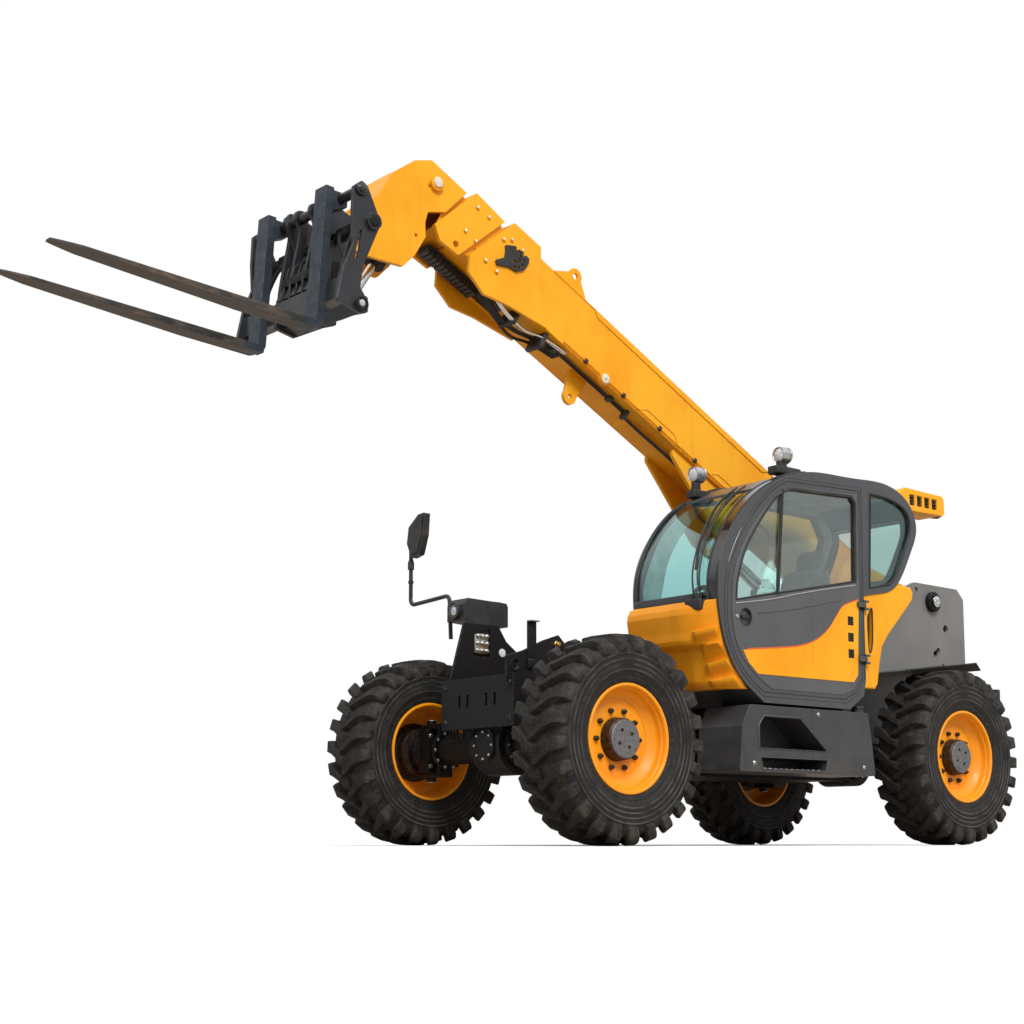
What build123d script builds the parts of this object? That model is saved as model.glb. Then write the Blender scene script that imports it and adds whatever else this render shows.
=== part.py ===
from build123d import *
from math import atan2, cos, radians, sin
import os

# Telehandler with a three-section boom, cab on the left, engine pod on the right.
# Millimetres. +X is forward, +Y is the machine's left, +Z is up.
# The origin is on the ground under the middle of the machine's bounding box, forks included.

# ---- driving dimensions ----
WHEELBASE = 3600
TRACK = 2050  # between the middles of the left and right tyres
TYRE_D = 1350
TYRE_W = 445
RIM_D = 724  # over the rim flanges
RIM_W = 360
KINGPIN_Y = 850

RAIL_OUT = 335  # chassis side plates, outer faces
RAIL_T = 30
RAIL_Z0 = 500
RAIL_Z1 = 975

PIVOT_AFT = 800  # boom pivot behind the rear axle
PIVOT_Z = 2040
PIVOT_R = 50
TOWER_TAIL = 460  # tower's rear edge behind the boom pivot
TOWER_T = 30
TOWER_OUT = RAIL_OUT + TOWER_T

BOOM_ANGLE = 26.8  # boom above the horizontal as it stands
BOOM_HALF = 170  # half the width of the base section
BOOM_TOP = -25  # top of the base section, across from the pivot
BOOM_BOTTOM = -460
BOOM_WALL = 10
BOOM_GAP = 10  # between one section and the next
BOOM_MOUTH = 5046  # pivot to the top of the base section's mouth
COLLAR = 25  # how far the mouth collars stand out of the sides
MIDDLE_REACH = 340  # the middle section's mouth ahead of the base section's
PAD_GAP = 0.3  # wear pad to the section that slides on it

HINGE_UV = (BOOM_MOUTH + 1034, -900)  # carriage hinge on the boom head, along and across the boom
TILT_UV = (BOOM_MOUTH + 660, -168)  # tilt cylinder's upper pin
TILT_PIN_R = 55
CARRIAGE_TILT = 4  # fork blades above the horizontal
CARRIAGE_HALF = 600
FORK_Y = 337
FORK_W = 125
FORK_T = 50
FORK_TOP = 105  # top of the shanks above the carriage hinge
SHANK_T = 60
FORK_LENGTH = 1740
SHAFT_R = 32  # the round bar that the forks hang on

LIFT_FOOT_XZ = (300, -890)  # lift cylinder's lower pin from the boom pivot
LIFT_EYE_UV = (0.426 * BOOM_MOUTH, -760)  # its rod eye, along and across the boom
FIT = 0.06  # radial clearance of a running pin
NEAR = 0.3  # gap of a piece that is carried but moves

CAB_IN = RAIL_OUT + 15  # cab's inner side, next to the boom
CAB_OUT = 1170
CAB_WALL = 50
DOOR_T = 40
DOOR_GAP = 6
GLASS_T = 6

# ---- worked out from them ----
theta = radians(BOOM_ANGLE)
tilt = radians(CARRIAGE_TILT)


def boom_to_xz(point):
    """Offset from the boom pivot, in x and z, of a point given along and across the boom."""
    u, v = point
    return (u * cos(theta) - v * sin(theta), u * sin(theta) + v * cos(theta))


HINGE_XZ = boom_to_xz(HINGE_UV)
SHANK = (390, -833)  # foot of the shank's front face from the carriage hinge, along and across the forks
TIP = (SHANK[0] + FORK_LENGTH, SHANK[1] + FORK_T)
TIP_X = HINGE_XZ[0] + TIP[0] * cos(tilt) - TIP[1] * sin(tilt)
PIVOT_X = (TOWER_TAIL - TIP_X) / 2
REAR_X = PIVOT_X + PIVOT_AFT
FRONT_X = REAR_X + WHEELBASE
AXLE_Z = TYRE_D / 2

# Side-on planes: x along the machine or the boom, y up or across it. Their normal is -Y.
front_side = Plane(origin=(FRONT_X, 0, 0), x_dir=(1, 0, 0), z_dir=(0, -1, 0))
rear_side = Plane(origin=(REAR_X, 0, 0), x_dir=(1, 0, 0), z_dir=(0, -1, 0))
pivot_side = Plane(origin=(PIVOT_X, 0, PIVOT_Z), x_dir=(1, 0, 0), z_dir=(0, -1, 0))
boom_side = Plane(origin=(PIVOT_X, 0, PIVOT_Z), x_dir=(cos(theta), 0, sin(theta)), z_dir=(0, -1, 0))
carriage_side = Plane(
    origin=(PIVOT_X + HINGE_XZ[0], 0, PIVOT_Z + HINGE_XZ[1]),
    x_dir=(cos(tilt), 0, sin(tilt)),
    z_dir=(0, -1, 0),
)

os.makedirs("parts", exist_ok=True)


# ---- helpers, used inside a BuildPart ----
def slab(plane, points, low, high, round_by=0, mode=Mode.ADD):
    """A plate of the given outline on a side-on plane, from y = low to y = high."""
    with BuildSketch(plane.offset(-high)) as outline:
        with BuildLine():
            Polyline(*points, close=True)
        make_face()
        if round_by:
            fillet(outline.vertices(), round_by)
    extrude(outline.sketch, amount=high - low, mode=mode)


def rectangle(u0, u1, v0, v1):
    """The corners of a rectangle on a plane."""
    return [(u0, v0), (u1, v0), (u1, v1), (u0, v1)]


def bar(plane, at, radius, low, high, mode=Mode.ADD):
    """A round bar across the machine, from y = low to y = high."""
    with BuildSketch(plane.offset(-high)) as disc:
        with Locations(at):
            Circle(radius)
    extrude(disc.sketch, amount=high - low, mode=mode)


def block(x, y, z, mode=Mode.ADD):
    """A box between the pairs x, y and z."""
    centre = ((x[0] + x[1]) / 2, (y[0] + y[1]) / 2, (z[0] + z[1]) / 2)
    with Locations(centre):
        Box(abs(x[1] - x[0]), abs(y[1] - y[0]), abs(z[1] - z[0]), mode=mode)


def bolts(plane, spots, radius, face, out):
    """Hexagon bolt heads standing out of a side face at y = face, on the side that out gives."""
    with BuildSketch(plane.offset(-face)) as heads:
        with Locations(*spots):
            RegularPolygon(radius, 6)
    extrude(heads.sketch, amount=-out)


def outward(x, y, z, s=1):
    """A plane that faces left, or right where s is -1."""
    return Plane(origin=(x, y, z), x_dir=(1, 0, 0), z_dir=(0, s, 0))


def ahead(x, y, z, way=1):
    """A plane that faces forward, or back where way is -1."""
    return Plane(origin=(x, y, z), x_dir=(0, 1, 0), z_dir=(way, 0, 0))


def keep(builder, node):
    builder.part.label = node
    export_step(builder.part, f"parts/{node}.step")


SIDES = (("left", 1), ("right", -1))
AXLES = (("front", FRONT_X), ("rear", REAR_X))

# ---- chassis ----
ENGINE_Z0 = 600  # top of the engine's tray
HOOD_IN = -RAIL_OUT - 45  # engine cover's open side
HOOD_TOP = 1420
HOOD_HINGE = (HOOD_IN + 20, HOOD_TOP + 12)  # across and up
HOOD_HINGES = (FRONT_X - 1250, FRONT_X - 2450)
HINGE_PIN_R = 6  # of the engine cover and of the door
HINGE_TUBE_R = 10
FRONT_PLATE_T = 20
CROSS_PLATE_T = 40
AXLE_NOTCH = 190  # half the length of the notch over each axle
NOTCH_Z = AXLE_Z + 130
FRAME_FRONT = 270  # cross plate ahead of the front axle
FRAME_REAR = PIVOT_AFT + 300

with BuildPart() as chassis_frame:
    rail = [
        (FRAME_FRONT - CROSS_PLATE_T, 790),
        (AXLE_NOTCH, NOTCH_Z),
        (-AXLE_NOTCH, NOTCH_Z),
        (-AXLE_NOTCH - 250, RAIL_Z0),
        (-WHEELBASE + AXLE_NOTCH + 200, RAIL_Z0),
        (-WHEELBASE + AXLE_NOTCH, NOTCH_Z),
        (-WHEELBASE - AXLE_NOTCH, NOTCH_Z),
        (-WHEELBASE - AXLE_NOTCH - 100, 700),
        (-WHEELBASE - FRAME_REAR, 750),
        (-WHEELBASE - FRAME_REAR, 1100),
        (-WHEELBASE + 500, 1100),
        (-WHEELBASE + 700, RAIL_Z1),
        (-700, RAIL_Z1),
        (-520, 1120),
        (FRAME_FRONT - CROSS_PLATE_T, 1120),
    ]
    for low, high in ((RAIL_OUT - RAIL_T, RAIL_OUT), (-RAIL_OUT, -RAIL_OUT + RAIL_T)):
        slab(front_side, rail, low, high)
    inside = RAIL_OUT - RAIL_T
    # belly plate, cross tubes and the mast's rear cross plate
    block((FRONT_X - 620, REAR_X + 470), (-inside, inside), (RAIL_Z0, RAIL_Z0 + 12))
    for x in (FRONT_X - 800, (FRONT_X + REAR_X) / 2, REAR_X + 600):
        block((x - 60, x + 60), (-inside, inside), (RAIL_Z0, RAIL_Z0 + 140))
    # outriggers that carry the cab on the left and the engine tray on the right
    for x in (FRONT_X - 1500, FRONT_X - 2150):
        block((x - 50, x + 50), (RAIL_OUT, 770), (800, RAIL_Z1))
    block((FRONT_X - 2700, FRONT_X - 1000), (-1150, -RAIL_OUT), (560, ENGINE_Z0))
    # posts, ears and pins of the engine cover's hinges
    across, up = HOOD_HINGE
    for x in HOOD_HINGES:
        block((x - 60, x + 60), (-RAIL_OUT - 14, -RAIL_OUT), (850, up + 12))
        for side in (-1, 1):
            block((x + side * 35, x + side * 55), (across - 12, -RAIL_OUT), (up - 12, up + 12))
        with Locations(ahead(x, across, up)):
            Cylinder(HINGE_PIN_R, 110)
    # front side plates and cross plate
    plate_out = RAIL_OUT + FRONT_PLATE_T
    plate_foot = [(-520, 1120), (-520, 900), (230, 900)]
    left_plate = [(300, 1111), (302, 1254), (154, 1299), (-25, 1380), (-161, 1425), (-300, 1300)]
    slab(front_side, left_plate + plate_foot, RAIL_OUT, plate_out)
    bar(front_side, (228, 1199), 30, RAIL_OUT - 1, plate_out + 1, mode=Mode.SUBTRACT)
    right_plate = [(224, 1165), (110, 1562), (-202, 1559), (-277, 1449), (-371, 1384)]
    slab(front_side, right_plate + plate_foot, -plate_out, -RAIL_OUT)
    opening = [(27, 1326), (27, 1480), (-128, 1531), (-128, 1326)]
    slab(front_side, opening, -plate_out - 1, -RAIL_OUT + 1, mode=Mode.SUBTRACT)
    # cross plate with its slots and bolt holes
    wide = RAIL_OUT + 52
    front_face = FRONT_X + FRAME_FRONT
    block((front_face - CROSS_PLATE_T, front_face), (-wide, wide), (790, 1135))
    with Locations(ahead(front_face, 0, 960)):
        with Locations((-190, 20), (-100, 20), (100, 20), (190, 20)):
            Box(26, 90, 90, mode=Mode.SUBTRACT)
        with GridLocations(2 * wide - 80, 240, 2, 2):
            Hole(13, depth=45)
    # hydraulic couplings under a bracket on the right
    block((FRONT_X + 100, FRONT_X + 170), (-RAIL_OUT - 150, -RAIL_OUT), (905, 925))
    for step in range(3):
        with Locations((FRONT_X + 135, -RAIL_OUT - 125 + 40 * step, 906)):
            Cylinder(10, 170, align=(Align.CENTER, Align.CENTER, Align.MAX))
keep(chassis_frame, "chassis_frame")

# ---- rear tower that carries the boom: two plates and what joins them ----
TOWER = [
    (430, 2110 - PIVOT_Z),
    (230, 2190 - PIVOT_Z),
    (-370, 2185 - PIVOT_Z),
    (-TOWER_TAIL, 2100 - PIVOT_Z),
    (-TOWER_TAIL, 800 - PIVOT_Z),
    (-100, 720 - PIVOT_Z),
    (560, NOTCH_Z + 5 - PIVOT_Z),
    (1150, NOTCH_Z + 5 - PIVOT_Z),
    (1250, 1200 - PIVOT_Z),
    (850, 1750 - PIVOT_Z),
]
TIE_HOLE = (-190, -215)
TIE_R = 34
TOWER_HOLES = (((205, 90), 22), (TIE_HOLE, TIE_R), ((-40, -440), 30), ((-75, -410), 26), ((-140, -535), 18))
LIFT_FOOT_R = 40
SPACER_XZ = (-250, -1010)
SPACER_R = 70
STOP_XZ = (-370, -60)
STOP_R = 45
CAP_R = 85
CAP_T = 34
CAP_STEP = 12  # how far the cap's inner ring and then the pin's end stand out of it
REAR_PLATE = (-430, -410, -840, -105)  # its back, front, foot and top from the boom pivot
for side, s in SIDES:
    inner, outer = sorted((s * RAIL_OUT, s * TOWER_OUT))
    with BuildPart() as tower_plate:
        slab(pivot_side, TOWER, inner, outer, round_by=40)
        for at, radius in TOWER_HOLES:
            bar(pivot_side, at, radius, inner - 1, outer + 1, mode=Mode.SUBTRACT)
        bar(pivot_side, (0, 0), PIVOT_R, inner - 1, outer + 1, mode=Mode.SUBTRACT)
    keep(tower_plate, f"tower_{side}")

with BuildPart() as tower_pins:
    pin_end = TOWER_OUT + CAP_T + 2 * CAP_STEP
    bar(pivot_side, (0, 0), PIVOT_R, -pin_end, pin_end)
    for s in (1, -1):
        low, high = sorted((s * TOWER_OUT, s * (TOWER_OUT + CAP_T)))
        bar(pivot_side, (0, 0), CAP_R, low, high)
        low, high = sorted((s * TOWER_OUT, s * (pin_end - CAP_STEP)))
        bar(pivot_side, (0, 0), (CAP_R + PIVOT_R) / 2, low, high)
        bolts(pivot_side, [(22, 0), (-11, 19), (-11, -19)], 8, s * pin_end, s * 7)
    # lift cylinder's foot pin, spacer tube and boom stop between the plates
    bar(pivot_side, LIFT_FOOT_XZ, LIFT_FOOT_R, -RAIL_OUT, RAIL_OUT)
    bar(pivot_side, SPACER_XZ, SPACER_R, -RAIL_OUT + RAIL_T, RAIL_OUT - RAIL_T)
    bar(pivot_side, STOP_XZ, STOP_R, -RAIL_OUT, RAIL_OUT)
    slab(pivot_side, rectangle(*REAR_PLATE), -RAIL_OUT, RAIL_OUT)
keep(tower_pins, "tower_pins")

BALLAST_OUT = 620
with BuildPart() as counterweight:
    under_pivot = Plane(origin=(PIVOT_X, 0, 0), x_dir=(1, 0, 0), z_dir=(0, -1, 0))
    ballast = rectangle(-TOWER_TAIL + 5, -TOWER_TAIL + 215, 760, 1350)
    for low, high in ((TOWER_OUT, BALLAST_OUT), (-BALLAST_OUT, -TOWER_OUT)):
        slab(under_pivot, ballast, low, high, round_by=30)
keep(counterweight, "counterweight")

with BuildPart() as engine_block:
    block((FRONT_X - 2600, FRONT_X - 1100), (-1050, -450), (ENGINE_Z0, 1250))
keep(engine_block, "engine_block")

# ---- axles and steering knuckles ----
AXLE_R = 105
DIFF_R = 200
PIN_R = 35
YOKE = 60  # half the width of the axle's forked end
YOKE_ARM = (160, 190)  # its arms below and above the axle line
for axle, x in AXLES:
    at_axle = Plane(origin=(x, 0, AXLE_Z), x_dir=(1, 0, 0), z_dir=(0, -1, 0))
    with BuildPart() as beam:
        bar(at_axle, (0, 0), AXLE_R, -KINGPIN_Y + 150, KINGPIN_Y - 150)
        bar(at_axle, (0, 0), DIFF_R, -150, 150)
        for side, s in SIDES:
            block((x - 100, x + 100), (s * 280, s * 360), (AXLE_Z, NOTCH_Z))
            # forked end that holds the kingpins
            fore_aft = (x - YOKE, x + YOKE)
            back = (s * (KINGPIN_Y - 170), s * (KINGPIN_Y - 140))
            arm = (s * (KINGPIN_Y - 160), s * (KINGPIN_Y + 50))
            near_z, far_z = YOKE_ARM
            block(fore_aft, back, (AXLE_Z - far_z, AXLE_Z + far_z))
            for up in (-1, 1):
                block(fore_aft, arm, (AXLE_Z + up * near_z, AXLE_Z + up * far_z))
                with Locations((x, s * KINGPIN_Y, AXLE_Z + up * (near_z + far_z) / 2)):
                    Cylinder(PIN_R, 90)
    keep(beam, f"{axle}_axle")

TYRE_MID = TRACK / 2
DISC_Y = TYRE_MID + 60  # outer face of the wheel disc
DISC_T = 16
HUB_R = 140
SPINDLE_R = 60
STUD_RING = 188
STUD_R = 10
STUDS = 10
for axle, x in AXLES:
    for side, s in SIDES:
        # the wheel's own plane: x outward, y up, turned about the axle line
        wheel = Plane(origin=(x, 0, AXLE_Z), x_dir=(0, s, 0), z_dir=(s, 0, 0))
        axle_line = Axis((x, 0, AXLE_Z), (0, s, 0))
        disc_face = outward(x, s * DISC_Y, AXLE_Z, s)
        with BuildPart() as knuckle:
            inside, outside = s * (KINGPIN_Y - 70), s * (KINGPIN_Y + 40)
            block((x - 85, x + 85), (inside, outside), (AXLE_Z - 155, AXLE_Z + 155))
            for up in (-1, 1):
                with Locations((x, s * KINGPIN_Y, AXLE_Z + up * 140)):
                    Cylinder(PIN_R + NEAR, 100, mode=Mode.SUBTRACT)
            with Locations(outward(x, outside, AXLE_Z, s)):
                Cylinder(125, 60, align=(Align.CENTER, Align.CENTER, Align.MIN))
            with Locations(outward(x, outside + s * 50, AXLE_Z, s)):
                Cylinder(SPINDLE_R, 90, align=(Align.CENTER, Align.CENTER, Align.MIN))
        keep(knuckle, f"knuckle_{axle}_{side}")

        with BuildPart() as tyre:
            with BuildSketch(wheel):
                with BuildLine():
                    half = TYRE_W / 2
                    bead = RIM_D / 2
                    crown = TYRE_D / 2
                    Polyline(
                        (TYRE_MID - RIM_W / 2 + 12, bead - 8),
                        (TYRE_MID - RIM_W / 2 - 10, bead + 20),
                        (TYRE_MID - half, bead + 130),
                        (TYRE_MID - half, crown - 95),
                        (TYRE_MID - half + 45, crown - 12),
                        (TYRE_MID - half + 110, crown),
                        (TYRE_MID + half - 110, crown),
                        (TYRE_MID + half - 45, crown - 12),
                        (TYRE_MID + half, crown - 95),
                        (TYRE_MID + half, bead + 130),
                        (TYRE_MID + RIM_W / 2 + 10, bead + 20),
                        (TYRE_MID + RIM_W / 2 - 12, bead - 8),
                        close=True,
                    )
                make_face()
            revolve(axis=axle_line)
        keep(tyre, f"tyre_{axle}_{side}")

        with BuildPart() as rim:
            with BuildSketch(wheel):
                with BuildLine():
                    seat = RIM_D / 2 - 8
                    Polyline(
                        (TYRE_MID - RIM_W / 2, seat),
                        (TYRE_MID - RIM_W / 2 + 12, seat),
                        (TYRE_MID + RIM_W / 2 - 12, seat),
                        (TYRE_MID + RIM_W / 2, seat),
                        (TYRE_MID + RIM_W / 2, seat - 22),
                        (DISC_Y + 40, seat - 40),
                        (DISC_Y, seat - 90),
                        (DISC_Y, HUB_R + NEAR),
                        (DISC_Y - DISC_T, HUB_R + NEAR),
                        (DISC_Y - DISC_T, seat - 70),
                        (DISC_Y - 30, seat - 40),
                        (TYRE_MID - RIM_W / 2, seat - 22),
                        close=True,
                    )
                make_face()
            revolve(axis=axle_line)
            with Locations(disc_face):
                with PolarLocations(STUD_RING, STUDS):
                    Hole(STUD_R + NEAR, depth=2 * DISC_T)
        keep(rim, f"rim_{axle}_{side}")

        with BuildPart() as hub:
            with BuildSketch(wheel):
                with BuildLine():
                    Polyline(
                        (KINGPIN_Y + 120, SPINDLE_R + NEAR),
                        (KINGPIN_Y + 120, 170),
                        (DISC_Y - 40, 170),
                        (DISC_Y - 36, STUD_RING + 25),
                        (DISC_Y - DISC_T, STUD_RING + 25),
                        (DISC_Y - DISC_T, HUB_R),
                        (DISC_Y + 70, HUB_R - 6),
                        (DISC_Y + 78, HUB_R - 16),
                        (DISC_Y + 84, HUB_R - 16),
                        (DISC_Y + 88, HUB_R - 24),
                        (DISC_Y + 88, 0),
                        (KINGPIN_Y + 185, 0),
                        (KINGPIN_Y + 185, SPINDLE_R + NEAR),
                        close=True,
                    )
                make_face()
            revolve(axis=axle_line)
            # wheel studs through the disc, with their nuts
            with Locations(disc_face.offset(-DISC_T - 1)):
                with PolarLocations(STUD_RING, STUDS):
                    Cylinder(STUD_R, DISC_T + 34, align=(Align.CENTER, Align.CENTER, Align.MIN))
            with BuildSketch(disc_face):
                with PolarLocations(STUD_RING, STUDS):
                    RegularPolygon(18, 6)
            extrude(amount=22)
            # four threaded plugs in the cap
            with Locations(disc_face.offset(88)):
                with PolarLocations(62, 4, start_angle=30):
                    Hole(13, depth=9)
        keep(hub, f"hub_{axle}_{side}")

# ---- step box under the cab ----
STEP_IN = 900  # back of both openings
STEP_TOP = 957
STEP_FOOT = 500
TREAD_Z = 660
TREAD_RIBS = 10
TREAD_PITCH = 60
with BuildPart() as step_box:
    skirt = [
        (-1179, STEP_TOP),
        (-1100, 810),
        (-1067, STEP_FOOT),
        (-2530, STEP_FOOT),
        (-2498, 748),
        (-2461, STEP_TOP),
    ]
    slab(front_side, skirt, 770, CAB_OUT, round_by=22)
    upper = [(-1267, TREAD_Z), (-1267, 824), (-1320, 885), (-1700, 885), (-1985, TREAD_Z)]
    lower = [(-1300, 520), (-1280, 600), (-1990, 600), (-1970, 520)]
    for opening in (upper, lower):
        slab(front_side, opening, STEP_IN, CAB_OUT + 1, mode=Mode.SUBTRACT)
    # tread ribs on the upper step, seam and filler cap
    for rib in range(TREAD_RIBS):
        x = FRONT_X - 1900 + TREAD_PITCH * rib
        block((x, x + 16), (STEP_IN + 5, CAB_OUT - 8), (TREAD_Z - 1, TREAD_Z + 6))
    seam = (FRONT_X - 1832, FRONT_X - 1826)
    block(seam, (CAB_OUT - 4, CAB_OUT + 1), (STEP_FOOT, STEP_TOP), mode=Mode.SUBTRACT)
    with Locations((FRONT_X - 2450, CAB_OUT - 90, STEP_TOP - 2)):
        Cylinder(45, 38, align=(Align.CENTER, Align.CENTER, Align.MIN))
keep(step_box, "step_box")

FENDER_OUT = 1000
with BuildPart() as rear_fenders:
    fender = [(430, 1335), (-490, 1452), (-545, 1395), (-537, 1390), (-487, 1443), (430, 1327)]
    stay = [(140, 1250), (60, 1250), (-40, 1385), (70, 1371)]
    for s in (1, -1):
        low, high = sorted((s * TOWER_OUT, s * FENDER_OUT))
        slab(rear_side, fender, low, high)
        low, high = sorted((s * TOWER_OUT, s * (TOWER_OUT + 10)))
        slab(rear_side, stay, low, high)
keep(rear_fenders, "rear_fenders")

# ---- cab ----
# each outline is a smooth run of points, then the corners that close it
CAB_OUTLINE = (
    (
        (-1149, 1092),
        (-951, 1358),
        (-880, 1700),
        (-890, 1874),
        (-1045, 2196),
        (-1246, 2407),
        (-1500, 2560),
        (-1820, 2662),
        (-2360, 2692),
        (-2880, 2670),
        (-3055, 2557),
        (-3114, 2405),
        (-3038, 2214),
        (-2920, 2020),
        (-2810, 1910),
        (-2660, 1860),
        (-2450, 1820),
    ),
    ((-2450, 1200), (-2420, 1080), (-2260, 975), (-1330, 975)),
)
DOOR_OUTLINE = (
    (
        (-1328, 1050),
        (-1152, 1172),
        (-1009, 1363),
        (-971, 1600),
        (-1008, 1886),
        (-1179, 2192),
        (-1431, 2453),
        (-1622, 2563),
    ),
    ((-2418, 2600), (-2405, 1208), (-2330, 1107), (-2200, 1048)),
)
WINDOW_OUTLINE = (
    ((-1061, 1669), (-1080, 1812), (-1175, 2047), (-1365, 2298), (-1525, 2455), (-1653, 2512)),
    ((-2330, 2545), (-2370, 2500), (-2354, 1920)),
)
QUARTER_OUTLINE = (
    (
        (-2557, 2600),
        (-2786, 2590),
        (-2980, 2525),
        (-3030, 2396),
        (-2950, 2206),
        (-2847, 2014),
        (-2754, 1937),
    ),
    ((-2520, 1888),),
)
RIGHT_WINDOW = (
    ((-1110, 1750), (-1200, 2050), (-1400, 2320), (-1680, 2520), (-2000, 2580)),
    ((-2860, 2570), (-2960, 2400), (-2760, 1980), (-2420, 1750)),
)


def drawn_in(points, inset):
    """The points of a closed outline moved inwards, square to the two edges that meet at each."""
    pairs = list(zip(points, points[1:] + points[:1]))
    turn = 1 if sum(a[0] * b[1] - b[0] * a[1] for a, b in pairs) > 0 else -1
    normals = [Vector(a[1] - b[1], b[0] - a[0]).normalized() * turn for a, b in pairs]
    moved = []
    for point, before, after in zip(points, normals[-1:] + normals[:-1], normals):
        step = (before + after) * (inset / (1 + before.dot(after)))
        moved.append((point[0] + step.X, point[1] + step.Y))
    return moved


def cab_face(outline, inset=0):
    """A face of a cab outline on the side-on plane, drawn in by inset."""
    curve, corners = outline
    points = drawn_in(list(curve + corners), inset)
    with BuildSketch(front_side) as face:
        with BuildLine():
            run = Spline(*points[: len(curve)])
            Polyline(run @ 1, *points[len(curve) :], run @ 0)
        make_face()
    return face.sketch


def sheet(face, low, high, mode=Mode.ADD):
    """A side-on face made solid from y = low to y = high."""
    extrude(to_extrude=face.moved(Location((0, high, 0))), amount=high - low, dir=(0, -1, 0), mode=mode)


DOOR_HINGE_X = FRONT_X - 2436
DOOR_HINGE_Y = CAB_OUT + 18
DOOR_HINGES = (1350, 1750)  # heights
HINGE_HALF = 20  # half the height of the door's part of a hinge
SCREEN = [(-700, 1700), (-1100, 1700), (-1390, 2400), (-1390, 2700), (-700, 2700)]  # front stretch
SCREEN_IN = CAB_IN + 30
SCREEN_OUT = CAB_OUT - 90
with BuildPart() as cab_frame:
    sheet(cab_face(CAB_OUTLINE), CAB_IN, CAB_OUT)
    sheet(cab_face(CAB_OUTLINE, CAB_WALL), CAB_IN + CAB_WALL, CAB_OUT - CAB_WALL, mode=Mode.SUBTRACT)
    sheet(cab_face(DOOR_OUTLINE, -DOOR_GAP), CAB_OUT - CAB_WALL - 1, CAB_OUT + 1, mode=Mode.SUBTRACT)
    sheet(cab_face(QUARTER_OUTLINE), CAB_OUT - CAB_WALL - 1, CAB_OUT + 1, mode=Mode.SUBTRACT)
    # windscreen, rear window and right-hand window
    slab(front_side, SCREEN, SCREEN_IN, SCREEN_OUT, mode=Mode.SUBTRACT)
    slab(front_side, rectangle(-3300, -2700, 1980, 2480), CAB_IN + 60, CAB_OUT - 110, mode=Mode.SUBTRACT)
    sheet(cab_face(RIGHT_WINDOW), CAB_IN - 1, CAB_IN + CAB_WALL + 1, mode=Mode.SUBTRACT)
    # door hinges: two ears and a pin each
    for z in DOOR_HINGES:
        for up in (-1, 1):
            ear = (z + up * HINGE_HALF, z + up * (HINGE_HALF + 15))
            block((DOOR_HINGE_X - 40, DOOR_HINGE_X + 9), (CAB_OUT, DOOR_HINGE_Y + 9), ear)
        with Locations((DOOR_HINGE_X, DOOR_HINGE_Y, z)):
            Cylinder(HINGE_PIN_R, 70)
keep(cab_frame, "cab_frame")

DOOR_IN = CAB_OUT - DOOR_T
HANDLE = (-1151, 1554)
VENTS = (1620, 1500, 1380)  # heights of the three vents
with BuildPart() as door_panel:
    sheet(cab_face(DOOR_OUTLINE), DOOR_IN, CAB_OUT)
    sheet(cab_face(WINDOW_OUTLINE), DOOR_IN - 1, CAB_OUT + 1, mode=Mode.SUBTRACT)
    # window post, with the panes on both sides of it
    post = [(-1478, 1735), (-1510, 1735), (-1582, 2500), (-1550, 2500)]
    slab(front_side, post, CAB_OUT - 10, CAB_OUT - 4)
    # recessed grip with its lever, and three vents along the rear edge
    bar(front_side, HANDLE, 62, CAB_OUT - 14, CAB_OUT + 1, mode=Mode.SUBTRACT)
    slab(front_side, rectangle(-1190, -1112, 1540, 1566), CAB_OUT - 15, CAB_OUT - 2)
    for z in VENTS:
        vent = rectangle(-2310, -2250, z - 28, z + 28)
        slab(front_side, vent, CAB_OUT - 8, CAB_OUT + 1, mode=Mode.SUBTRACT)
    leaf = HINGE_HALF - NEAR
    for z in DOOR_HINGES:
        block((DOOR_HINGE_X, DOOR_HINGE_X + 80), (CAB_OUT, DOOR_HINGE_Y + 8), (z - leaf, z + leaf))
        with Locations((DOOR_HINGE_X, DOOR_HINGE_Y, z)):
            Cylinder(HINGE_TUBE_R, 2 * leaf)
            Cylinder(HINGE_PIN_R + NEAR, 45, mode=Mode.SUBTRACT)
keep(door_panel, "door_panel")

PANE_IN = CAB_OUT - 20  # inner faces of the panes on the left
with BuildPart() as door_glass:
    sheet(cab_face(WINDOW_OUTLINE), PANE_IN, PANE_IN + GLASS_T)
keep(door_glass, "door_glass")

with BuildPart() as cab_glass:
    sheet(cab_face(CAB_OUTLINE, 10), SCREEN_IN, SCREEN_OUT)
    sheet(cab_face(CAB_OUTLINE, 10 + GLASS_T), SCREEN_IN - 1, SCREEN_OUT + 1, mode=Mode.SUBTRACT)
    # only the front stretch is glass
    slab(front_side, SCREEN, SCREEN_IN - 1, SCREEN_OUT + 1, mode=Mode.INTERSECT)
    sheet(cab_face(QUARTER_OUTLINE), PANE_IN, PANE_IN + GLASS_T)
    sheet(cab_face(RIGHT_WINDOW), CAB_IN + 20 - GLASS_T, CAB_IN + 20)
keep(cab_glass, "cab_glass")

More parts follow.
